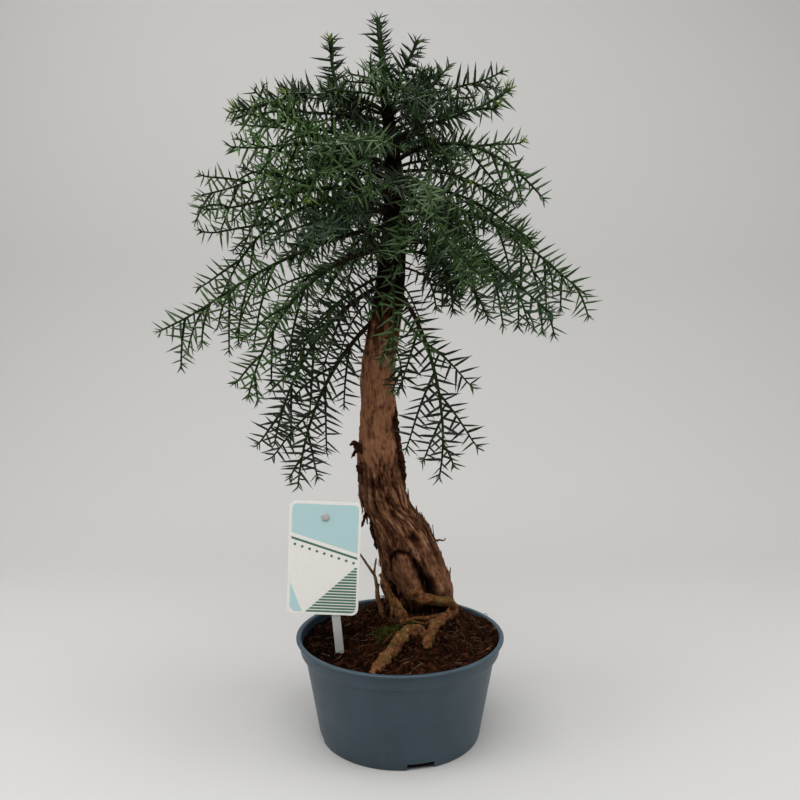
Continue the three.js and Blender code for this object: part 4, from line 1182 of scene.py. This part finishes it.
def side_lines(stem, heading, length, roll, seed, rule):
    """Side shoots of one stem, by turns to its left and right, shorter towards its tip."""
    first, pitch, longest, share, extra = SIDE_RULES[rule]
    step = length / (len(stem) - 1)
    level = aim(heading + 90, 0)
    angle = math.radians(roll)
    shoots = []
    for k in range(max(0, math.ceil((SIDE_LAST * length - first) / pitch))):
        along = first + k * pitch + SIDE_JITTER * pitch / JITTER_PITCH * (rand(seed, k, 2) - 0.5)
        i = min(int(along / step), len(stem) - 2)
        axis = (stem[i + 1] - stem[i]) / step
        side = (level * math.cos(angle) + np.cross(axis, level) * math.sin(angle)
                + axis * np.dot(axis, level) * (1 - math.cos(angle))) * (1 if k % 2 else -1)
        if rule in ("weeping", "trailing"):
            side = WEEPING_SIDE * side - np.array([0, 0, 1]) + axis * axis[2]
            side /= np.linalg.norm(side)
        spread = math.radians(between(SIDE_SPREAD, rand(seed, k, 4)))
        spread *= HANGING_SPREAD if rule == "hanging" else 1
        out = axis * math.cos(spread) + side * math.sin(spread)
        out /= np.linalg.norm(out)
        size = min(longest, share * (length - along) + extra) * between(SIDE_SIZES, rand(seed, k, 3))
        turn = math.degrees(math.atan2(out[1], out[0]))
        rise = math.degrees(math.asin(out[2]))
        start = stem[i] + axis * (along - i * step)
        high = np.clip((start[2] - DROOP_HEIGHTS[0]) / (DROOP_HEIGHTS[1] - DROOP_HEIGHTS[0]), 0, 1)
        droop = between(SIDE_DROOPS, high) * math.cos(math.radians(rise))
        droop *= HANGING_DROOP if rule == "hanging" else 1
        fall = max(rise - droop + SIDE_DROOP_JITTER * (rand(seed, k, 6) - 0.5), STEEPEST)
        shoots.append((shoot_line(start, turn, size, rise, fall), turn, size))
    return shoots


def with_value(line, values):
    """A line with one more column, worked out evenly from its first value to its last."""
    return np.column_stack([line, np.linspace(*values, len(line))])


bough_lines = []
shoot_lines = []
needle_lines = {kind: [] for kind in NEEDLE_KINDS}
tip_lines = {kind: [] for kind in TIP_GREENS}
spray_nodes = {kind: [] for kind in NEEDLE_KINDS}


def needle_kind(height, heading, seed):
    """The kind of needle on a bough that leaves the trunk at a height and heading."""
    if abs(turn_between(heading, FRONT[0])) < FRONT[1]:
        return "front_pale"
    lowest = max(row[4] for row in NEEDLE_KINDS.values() if row[4] <= height)
    kinds = [kind for kind, row in NEEDLE_KINDS.items() if row[4] == lowest]
    return kinds[int(len(kinds) * rand(seed, 53))]


def bear_needles(kind, line, scale=1, from_length=0):
    """Notes where a shoot bears needles, smaller at its foot and tip, and where its tip's tuft is."""
    length = np.cumsum(np.linalg.norm(np.diff(line, axis=0, prepend=line[:1]), axis=1))
    left = length[-1] - length
    size = between((TIP_SIZE, 1), smooth_step(0, TIP_TAPER, left))
    size *= between((FOOT_SIZE, 1), smooth_step(0, FOOT_TAPER, length - from_length))
    rows = np.column_stack([line, scale * size])
    old = rows[(length >= from_length) & (left > TIP_OVERLAP * TIP_LENGTH)]
    if len(old) > 1:
        needle_lines[kind].append(old)
    young = kind in YOUNG_KINDS and rand(len(needle_lines[kind]), 5) < YOUNG_SHARE
    tip_lines["tip_young" if young else "tip_green"].append(rows[left <= max(TIP_LENGTH, left[-2])])


def clothe_upright(stem):
    """Notes the short needles, dark with painted shade, that stand close round the top of an upright shoot."""
    for k in range(UPRIGHT_RANKS):
        needle_lines["shade_green"].append(with_value(stem[k - UPRIGHT_TOP:], UPRIGHT_NEEDLES))


def grow(kind, height, heading, length, rise, fall, radii, rules, seed, roll=0, sway=0):
    """A bough from the trunk, woody first and then green, with its needles, side shoots and fine shoots."""
    stem = shoot_line(trunk_at(height)[0], heading, length, rise, fall, sway)
    rows = with_value(stem, radii)
    joint = max(2, round(BOUGH_WOOD * len(rows)))
    bough_lines.append(rows[:joint + 1])
    shoot_lines.append(rows[joint:])
    bear_needles(kind, stem, from_length=BARE_AT_TRUNK)
    for order, rule in enumerate(rules):
        sides = side_lines(stem, heading, length, roll, seed + RULE_SEED * order, rule)
        for k, (side, turn, size) in enumerate(sides):
            shoot_lines.append(with_value(side, SHOOT_RADII))
            bear_needles(kind, side, *SIDE_NEEDLES)
            if size > FINE_FROM_LENGTH and rule in USUAL_RULES and not kind.startswith("shade"):
                for fine, _, _ in side_lines(side, turn, size, roll, 7 * seed + k + FINE_SEED, "fine"):
                    shoot_lines.append(with_value(fine, FINE_RADII))
                    bear_needles(kind, fine, *FINE_NEEDLES)
    if fall >= UPRIGHT_FALL:
        clothe_upright(stem)


for seed, (name, (height, heading, length, rise, fall, roll)) in enumerate(BOUGHS.items()):
    kind = needle_kind(height, heading, seed)
    spray_nodes[kind].append("spray_" + name)
    upright = fall >= UPRIGHT_FALL
    radii = (BOUGH_RADII[0] * min(1, length / FULL_RADIUS_LENGTH), UPRIGHT_TIP if upright else BOUGH_RADII[1])
    rules = BOUGH_RULES.get(name, USUAL_RULES)
    if fall <= HANGING_FALL:
        rules = ("hanging",)
    if upright:
        rules = ("fine",)
    sway = SWAY * (2 * rand(seed, 1) - 1)
    grow(kind, height, heading, length, rise, fall, radii, rules, seed, roll, sway)
for seed, (height, heading, length, rise, fall) in enumerate(TWIGS, TWIG_SEED):
    rules = ("hanging",) if fall < HANGING_TWIGS else ("main",)
    kind = needle_kind(height, heading, seed)
    grow(kind, height, heading, length, rise, fall, TWIG_RADII, rules, seed)
for k in range(INNER_COUNT):
    share = (k + 0.5) / INNER_COUNT
    seed = INNER_SEED + k
    height = between(INNER_HEIGHTS, share)
    heading = NEEDLE_TURN * k
    length = between(INNER_LENGTHS, share) * between(INNER_SIZES, rand(seed, 1))
    rise = between(INNER_RISES, share) + INNER_RISE_JITTER * (rand(seed, 3) - 0.5)
    fall = rise - between(INNER_BENDS, share)
    # The lower inner shoots bear shade_deep needles, as painted shade in the crown's core
    kind = "shade_deep" if share < INNER_SHADE else needle_kind(height, heading, seed)
    grow(kind, height, heading, length, rise, fall, TWIG_RADII, USUAL_RULES, seed)
leader = np.linspace(trunk_at(LEADER_FROM)[0], LEADER_TOP, LEADER_POINTS)
shoot_lines.append(with_value(leader, LEADER_RADII))
bear_needles("crest", leader)
clothe_upright(leader)
spray_nodes["crest"].append("spray_leader")

# Bough bark: thin, dark brown and finely wrinkled
bough_bark = bark_material("thin bough bark", BOUGH_WRINKLE, depth=0.5, stops=[
    (0.3, BOUGH_DARK), (0.5, BOUGH_BROWN), (0.72, BOUGH_PALE)])
bough_nodes = [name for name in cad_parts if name.startswith("bough_")]
new_limbs("boughs", bough_lines, BOUGH_SKIN, bough_bark, "bough_bark", *bough_nodes)
# Green shoot bark: still soft and smooth, half hidden under the feet of the needles
shoot_skin = bark_material("green shoot skin", SHOOT_WRINKLE, depth=0.2, stops=[
    (0.35, SHOOT_DARK), (0.6, SHOOT_GREEN)])
new_limbs("shoots", shoot_lines, SHOOT_SKIN, shoot_skin, "needles")

needle_tree, given, result = new_node_tree(
    "needles round shoots", Needle="Object", Spacing="Float", Turn="Float", Stray="Float", Nod="Float",
    Smallest="Float", Largest="Float", Seed="Int", Finish="Material")
lines = add(needle_tree, "GeometryNodeMeshToCurve", {"Mesh": given["Geometry"]})
rank = add(needle_tree, "GeometryNodeInputNamedAttribute", {"Name": "rank"}, data_type="FLOAT_VECTOR")
laid = add(needle_tree, "GeometryNodeSetCurveNormal", {"Curve": lines, "Normal": rank}, mode="FREE")
feet = add(needle_tree, "GeometryNodeCurveToPoints", {"Curve": laid, "Length": given["Spacing"]},
           mode="LENGTH")
rotation = feet.outputs["Rotation"]
number = add(needle_tree, "GeometryNodeInputIndex")
spiral = add(needle_tree, "ShaderNodeMath", {0: number, 1: given["Turn"]}, operation="MULTIPLY")
for order, (axis, most, about) in enumerate([((0, 0, 1), "Stray", spiral), ((0, 1, 0), "Nod", 0)]):
    seed = add(needle_tree, "ShaderNodeMath", {0: given["Seed"], 1: 100 * order}, operation="ADD")
    chance = either_way(needle_tree, given[most], seed)
    angle = add(needle_tree, "ShaderNodeMath", {0: chance, 1: about}, operation="ADD")
    rotation = turned_on(needle_tree, rotation, axis, angle)
chance = add(needle_tree, "FunctionNodeRandomValue", {
    2: given["Smallest"], 3: given["Largest"], "Seed": given["Seed"]})
age = add(needle_tree, "GeometryNodeInputNamedAttribute", {"Name": "size"}, data_type="FLOAT")
size = add(needle_tree, "ShaderNodeMath", {0: chance, 1: age}, operation="MULTIPLY")
shape = add(needle_tree, "GeometryNodeObjectInfo", {"Object": given["Needle"]})
needles = add(needle_tree, "GeometryNodeInstanceOnPoints", {
    "Points": feet, "Instance": shape.outputs["Geometry"], "Rotation": rotation, "Scale": size})
end_tree(needle_tree, needles, given["Finish"], result)


def needle_bed(name, lines):
    """A mesh of shoots that says how large their needles are, and to which side their ranks lie."""
    rows = np.vstack(lines)
    runs = np.vstack([np.gradient(line[:, :3], axis=0) for line in lines])
    ranks = np.cross(runs, WINDOW) + 1e-6
    ranks /= np.linalg.norm(ranks, axis=1, keepdims=True)
    return new_mesh(name, rows[:, :3], edges=line_edges(lines), fields={"size": rows[:, 3], "rank": ranks})


def needle_shape(tilt, breadth):
    """A needle one unit long: a ridged lance that keeps its breadth to half way and ends in a hard point."""
    run = np.array([math.sin(math.radians(tilt)), 0, math.cos(math.radians(tilt))])
    edge = np.array([math.cos(math.radians(tilt)), 0, -math.sin(math.radians(tilt))]) * breadth / 2
    ridge = np.array([0, NEEDLE_KEEL * breadth / 2, 0])
    rings = [run * share + np.array([edge, ridge, -edge, -ridge]) * width for share, width in NEEDLE_RINGS]
    return shape_to_strew("needle", np.vstack([np.zeros(3), *rings, run]), ring_faces(len(rings), 4))


def needle_material(name, colour):
    """A stiff needle's waxy skin in one green, with a fine mottle of bloom."""
    material, tree, shader = new_material(name, Base_Color=linear(colour), Specular_IOR_Level=0.26)
    place = add(tree, "ShaderNodeTexCoord").outputs["Object"]
    bloom = add(tree, "ShaderNodeTexNoise", {"Vector": place, "Scale": 1 / (NEEDLE_BLOOM * MM), "Detail": 2})
    gloss = add(tree, "ShaderNodeMapRange", {
        "Value": bloom, "To Min": NEEDLE_GLOSS[0], "To Max": NEEDLE_GLOSS[1]})
    feed(shader, {"Roughness": gloss})
    return material


def new_needles(kind, lines, colour, shape, spacing, turn, stray, nod, sizes, seed, *nodes):
    """A piece of the needles of one kind along their shoots, in the place of the named solids."""
    mesh = made_by(needle_tree, needle_bed("needles_" + kind, lines), Needle=shape, Spacing=spacing * MM,
                   Turn=math.radians(turn), Stray=stray, Nod=nod, Smallest=sizes[0], Largest=sizes[1],
                   Seed=seed, Finish=needle_material("needle skin " + kind, colour))
    new_piece("needles_" + kind, mesh, "needles", *nodes)
    bpy.data.objects.remove(shape)


for seed, (kind, row) in enumerate(NEEDLE_KINDS.items(), NEEDLE_SEED):
    colour, length, breadth, spacing, _, turn, stray = row
    sizes = [share * length for share in NEEDLE_SIZES]
    new_needles(kind, needle_lines[kind], colour, needle_shape(NEEDLE_TILT, breadth), spacing, turn, stray,
                NEEDLE_NOD, sizes, seed, *spray_nodes[kind])
for seed, (kind, colour) in enumerate(TIP_GREENS.items(), TIP_SEED):
    new_needles(kind, tip_lines[kind], colour, needle_shape(TIP_TILT, TIP_BREADTH), TIP_SPACING, NEEDLE_TURN,
                TIP_STRAY, TIP_NOD, TIP_SIZES, seed)

# Plant label
# A coated card, die-cut with round corners, punched at the top and printed on its front in flat inks.
# It hangs on the button of a clear moulded stick that is pushed into the root ball.

PEG = np.array([-64.3, -38, 209.7])
CARD_HALF = 31
CARD_TOP = 13.5
CARD_FOOT = -86.5
CARD_THICKNESS = 1
CARD_CORNER = 6
CORNER_POINTS = 9
CARD_TILT = 2.3
CARD_EDGE = 0.15
HOLE_RADIUS = 2.5
# The print: a field above and one in the lower left corner, a band and a row of diamonds that slope down to
# the right by the same drop, and hatching in the lower right corner
PRINT_MARGIN = 2.2
PRINT_THICKNESS = 0.3
PRINT_PROUD = 0.05
PRINT_DROP = 17
UPPER_FIELD = -14
LOWER_FIELD = (-18, -58)
BAND_TOP = -17.5
BAND_WIDTH = 2
DIAMOND_LINE = -23.5
DIAMOND_COUNT = 9
DIAMOND_HALF = 1.5
HATCH_PITCH = 2.6
HATCH_BAND = 1.7
HATCH_TOP = -42
HATCH_REACH = 44
STICK_HALF = 3.75
STICK_TOP = 6
STICK_FOOT = -152
STICK_POINT = 10
STICK_THICKNESS = 1.2
STICK_EDGE = 0.3
STICK_TILT = -5.4
STICK_GAP = 0.3
STICK_MIDDLE = PEG[1] + CARD_THICKNESS + STICK_GAP + STICK_THICKNESS / 2
BUTTON_RADIUS = 3.6
BUTTON_HEIGHT = 1.6
BUTTON_SIDES = 28
PEG_RADIUS = HOLE_RADIUS - 0.4
PEG_LENGTH = 3
CARD_WHITE = "#ebe8e2"
CARD_MOTTLE = "#e3e0da"
INK_AQUA = "#b4d2d3"
AQUA_MOTTLE = "#abcbcd"
INK_TEAL = "#44705d"
TEAL_MOTTLE = "#3e6856"
CARD_FIBRE = 1.4
PRINT_GRAIN = 0.5
CARD_GLOSS = 0.32
PRINT_GLOSS = 0.34
STICK_CLEAR = "#dcddda"
STICK_SCUFF = 9
STICK_GLOSS = (0.3, 0.42)


def cut_sheet(name, outlines, thickness, edge):
    """Mesh of a flat sheet cut along closed outlines, with softened edges, before it is put in place."""
    curve = bpy.data.curves.new(name, "CURVE")
    curve.dimensions = "2D"
    curve.fill_mode = "BOTH"
    curve.extrude = (thickness / 2 - edge) * MM
    curve.bevel_depth = edge * MM
    curve.bevel_resolution = 1
    curve.offset = -edge * MM
    for outline in outlines:
        spline = curve.splines.new("POLY")
        spline.points.add(len(outline) - 1)
        flat = np.column_stack([np.array(outline, float) * MM, np.zeros(len(outline)), np.ones(len(outline))])
        spline.points.foreach_set("co", flat.ravel())
        spline.use_cyclic_u = True
    return plain_mesh(in_scene(name, curve))


def hang(mesh, tilt, middle):
    """Stands a flat sheet upright at the peg, turned by a tilt, with its middle at a depth."""
    points = np.empty(3 * len(mesh.vertices))
    mesh.vertices.foreach_get("co", points)
    across, up, out = points.reshape(-1, 3).T
    turn = math.radians(tilt)
    x = PEG[0] * MM + across * math.cos(turn) + up * math.sin(turn)
    z = PEG[2] * MM - across * math.sin(turn) + up * math.cos(turn)
    mesh.vertices.foreach_set("co", np.column_stack([x, middle * MM - out, z]).ravel())
    mesh.update()
    return mesh


def arc(centre, radius, start, end, steps):
    """Points of an arc between two angles in degrees."""
    angle = np.radians(np.linspace(start, end, steps))
    return np.column_stack([centre[0] + radius * np.cos(angle), centre[1] + radius * np.sin(angle)])


def round_corners(left, right, foot, top, radius):
    """Outline of an upright rectangle with round corners."""
    places = [(right - radius, top - radius), (left + radius, top - radius),
              (left + radius, foot + radius), (right - radius, foot + radius)]
    return np.vstack([arc(centre, radius, 90 * k, 90 * k + 90, CORNER_POINTS)
                      for k, centre in enumerate(places)])


def sheet_material(name, colour, mottle, grain, gloss):
    """A smooth printed or coated face with a fine grain, a little paler and duller in places."""
    material, tree, shader = new_material(name, IOR=1.5)
    place = add(tree, "ShaderNodeTexCoord").outputs["Object"]
    fleck, tint = tinted(tree, place, grain, [(0.3, mottle), (0.65, colour)], Detail=3)
    dull = add(tree, "ShaderNodeMapRange", {"Value": fleck, "To Min": gloss, "To Max": gloss + 0.2})
    bump = add(tree, "ShaderNodeBump", {"Height": fleck, "Strength": 0.05, "Distance": 0.1 * MM})
    feed(shader, {"Base Color": tint, "Roughness": dull, "Normal": bump})
    return material


# Coated card: bright and smooth with a soft sheen, and a trace of paper fibre under the coat
coated_card = sheet_material("coated card", CARD_WHITE, CARD_MOTTLE, CARD_FIBRE, CARD_GLOSS)
hole = arc((0, 0), HOLE_RADIUS, 0, 345, 24)
card_outline = round_corners(-CARD_HALF, CARD_HALF, CARD_FOOT, CARD_TOP, CARD_CORNER)
card = hang(cut_sheet("label_card", [card_outline, hole], CARD_THICKNESS, CARD_EDGE), CARD_TILT,
            PEG[1] + CARD_THICKNESS / 2)
new_piece("plant_label", card, "label_card", "label_card", material=coated_card)

# Printing ink: a thin flat coat with the fine grain of the press
left, right = PRINT_MARGIN - CARD_HALF, CARD_HALF - PRINT_MARGIN
foot, top = CARD_FOOT + PRINT_MARGIN, CARD_TOP - PRINT_MARGIN
corner = CARD_CORNER - PRINT_MARGIN
upper_corners = round_corners(left, right, foot, top, corner)[:2 * CORNER_POINTS]
upper_field = np.vstack([upper_corners, [(left, UPPER_FIELD), (right, UPPER_FIELD - PRINT_DROP)]])
lower_field = [(left + corner, foot), (LOWER_FIELD[0], foot), (left, LOWER_FIELD[1]), (left, foot + corner)]
band_foot = BAND_TOP - BAND_WIDTH
band = [(left, BAND_TOP), (right, BAND_TOP - PRINT_DROP), (right, band_foot - PRINT_DROP), (left, band_foot)]
hatching = []
for low in np.arange(foot, HATCH_TOP - HATCH_BAND, HATCH_PITCH):
    high = low + HATCH_BAND
    start, end = (right - HATCH_REACH * (HATCH_TOP - height) / (HATCH_TOP - foot) for height in (low, high))
    inset = max(0, corner - (low - foot))
    hatching.append([(start, low), (right - inset, low), (right, high), (end, high)])
diamonds = []
for k in range(DIAMOND_COUNT):
    across = left + (k + 0.5) * (right - left) / DIAMOND_COUNT
    up = DIAMOND_LINE - PRINT_DROP * (k + 0.5) / DIAMOND_COUNT
    diamonds.append([(across + DIAMOND_HALF * a, up + DIAMOND_HALF * b)
                     for a, b in [(1, 0), (0, 1), (-1, 0), (0, -1)]])
for name, colour, mottle, outlines in [
        ("aqua", INK_AQUA, AQUA_MOTTLE, [upper_field, hole, lower_field]),
        ("teal", INK_TEAL, TEAL_MOTTLE, [band, *hatching, *diamonds])]:
    ink = hang(cut_sheet("print_" + name, outlines, PRINT_THICKNESS, 0), CARD_TILT,
               PEG[1] + PRINT_THICKNESS / 2 - PRINT_PROUD)
    new_piece("label_print_" + name, ink, "label_card",
              material=sheet_material(name + " printing ink", colour, mottle, PRINT_GRAIN, PRINT_GLOSS))

# Clear polystyrene: glassy and faintly milky, with scuffs from handling
clear_plastic, tree, shader = new_material("clear polystyrene", Base_Color=linear(STICK_CLEAR), IOR=1.58,
                                           Transmission_Weight=0.55)
place = add(tree, "ShaderNodeTexCoord").outputs["Object"]
scuff = add(tree, "ShaderNodeTexNoise", {"Vector": place, "Scale": 1 / (STICK_SCUFF * MM), "Detail": 3})
dull = add(tree, "ShaderNodeMapRange", {"Value": scuff, "To Min": STICK_GLOSS[0], "To Max": STICK_GLOSS[1]})
feed(shader, {"Roughness": dull})
stick_outline = np.vstack([
    arc((0, STICK_TOP - STICK_HALF), STICK_HALF, 0, 180, 12),
    [(-STICK_HALF, STICK_FOOT + STICK_POINT), (0, STICK_FOOT), (STICK_HALF, STICK_FOOT + STICK_POINT)]])
stick = hang(cut_sheet("label_stick", [stick_outline], STICK_THICKNESS, STICK_EDGE), STICK_TILT, STICK_MIDDLE)
new_piece("label_stick_clear", stick, "clear_stick", "label_stick", material=clear_plastic)
dome = [(BUTTON_RADIUS * math.cos(math.radians(rise)), BUTTON_HEIGHT * math.sin(math.radians(rise)))
        for rise in np.linspace(0, 90, 8)[:-1]]
button_profile = [(0, -PEG_LENGTH), (PEG_RADIUS, -PEG_LENGTH), (PEG_RADIUS, 0), *dome, (0, BUTTON_HEIGHT)]
button = hang(new_mesh("button", *turned(button_profile, BUTTON_SIDES)), STICK_TILT, PEG[1] - PRINT_PROUD)
new_piece("label_button", button, "clear_stick", material=clear_plastic)

# Stage
# A plain pale sweep of matt paper that runs up behind the plant, held in a wide bend.
# Soft lamps hang above it and stand at both sides.

FLOOR_GREY = "#b3b2b0"
SWEEP_FRONT = -1500
SWEEP_BACK = 500
SWEEP_BEND = 500
SWEEP_TOP = 2600
SWEEP_HALF = 2500
# Lamps: place, point they are turned to, size and power in watts
LAMPS = {
    "top_lamp": ((-120, -440, 1500), (-100, -340, 0), 1700, 38.5),
    "left_lamp": ((-1500, -500, 900), (0, 0, 250), 900, 11),
    "right_lamp": ((1500, -300, 800), (0, 0, 200), 900, 11.5),
}
WORLD_STRENGTH = 0.1

sweep_profile = [(SWEEP_FRONT, 0), (SWEEP_BACK, 0)]
for bend in np.radians(np.linspace(0, 90, 13)[1:]):
    sweep_profile.append((SWEEP_BACK + SWEEP_BEND * math.sin(bend), SWEEP_BEND - SWEEP_BEND * math.cos(bend)))
sweep_profile.append((SWEEP_BACK + SWEEP_BEND, SWEEP_TOP))
sweep_points = [(x, y, z) for y, z in sweep_profile for x in (-SWEEP_HALF, SWEEP_HALF)]
sweep_faces = [(i, i + 1, i + 3, i + 2) for i in range(0, len(sweep_points) - 2, 2)]
# Matt paper: an even pale grey without gloss
sweep_paper, tree, shader = new_material("matt sweep paper", Base_Color=linear(FLOOR_GREY), Roughness=0.9)
sweep_mesh = new_mesh("sweep", sweep_points, sweep_faces)
sweep_mesh.materials.append(sweep_paper)
sweep = in_scene("sweep", sweep_mesh)
sweep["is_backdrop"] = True

for name, (place, aim_at, size, power) in LAMPS.items():
    lamp = bpy.data.lights.new(name, "AREA")
    lamp.size = size * MM
    lamp.energy = power
    holder = in_scene(name, lamp)
    holder.location = np.array(place) * MM
    run = np.array(aim_at, float) - place
    holder.rotation_euler = (math.atan2(math.hypot(run[0], run[1]), -run[2]), 0,
                             math.atan2(run[1], run[0]) - math.pi / 2)
world = bpy.data.worlds.new("studio")
world.use_nodes = True
feed(world.node_tree.nodes["Background"], {"Color": (1, 1, 1, 1), "Strength": WORLD_STRENGTH})
bpy.context.scene.world = world
bpy.context.scene.view_settings.view_transform = "Standard"

# Camera
# A little above the plant's middle and a little more than 70 cm in front of it, tipped slightly down.

CAMERA_PLACE = (0, -731, 380.5)
CAMERA_PITCH = 5.7
CAMERA_LENS = 36.9
CAMERA_SENSOR = 36

camera = bpy.data.cameras.new("camera")
camera.lens = CAMERA_LENS
camera.sensor_width = CAMERA_SENSOR
view = in_scene("camera", camera)
view.location = np.array(CAMERA_PLACE) * MM
view.rotation_euler = (math.radians(90 - CAMERA_PITCH), 0, 0)
bpy.context.scene.camera = view

sizes = {"cad": [list(corner) for corner in solid_box], "visual": [list(corner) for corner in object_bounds()]}
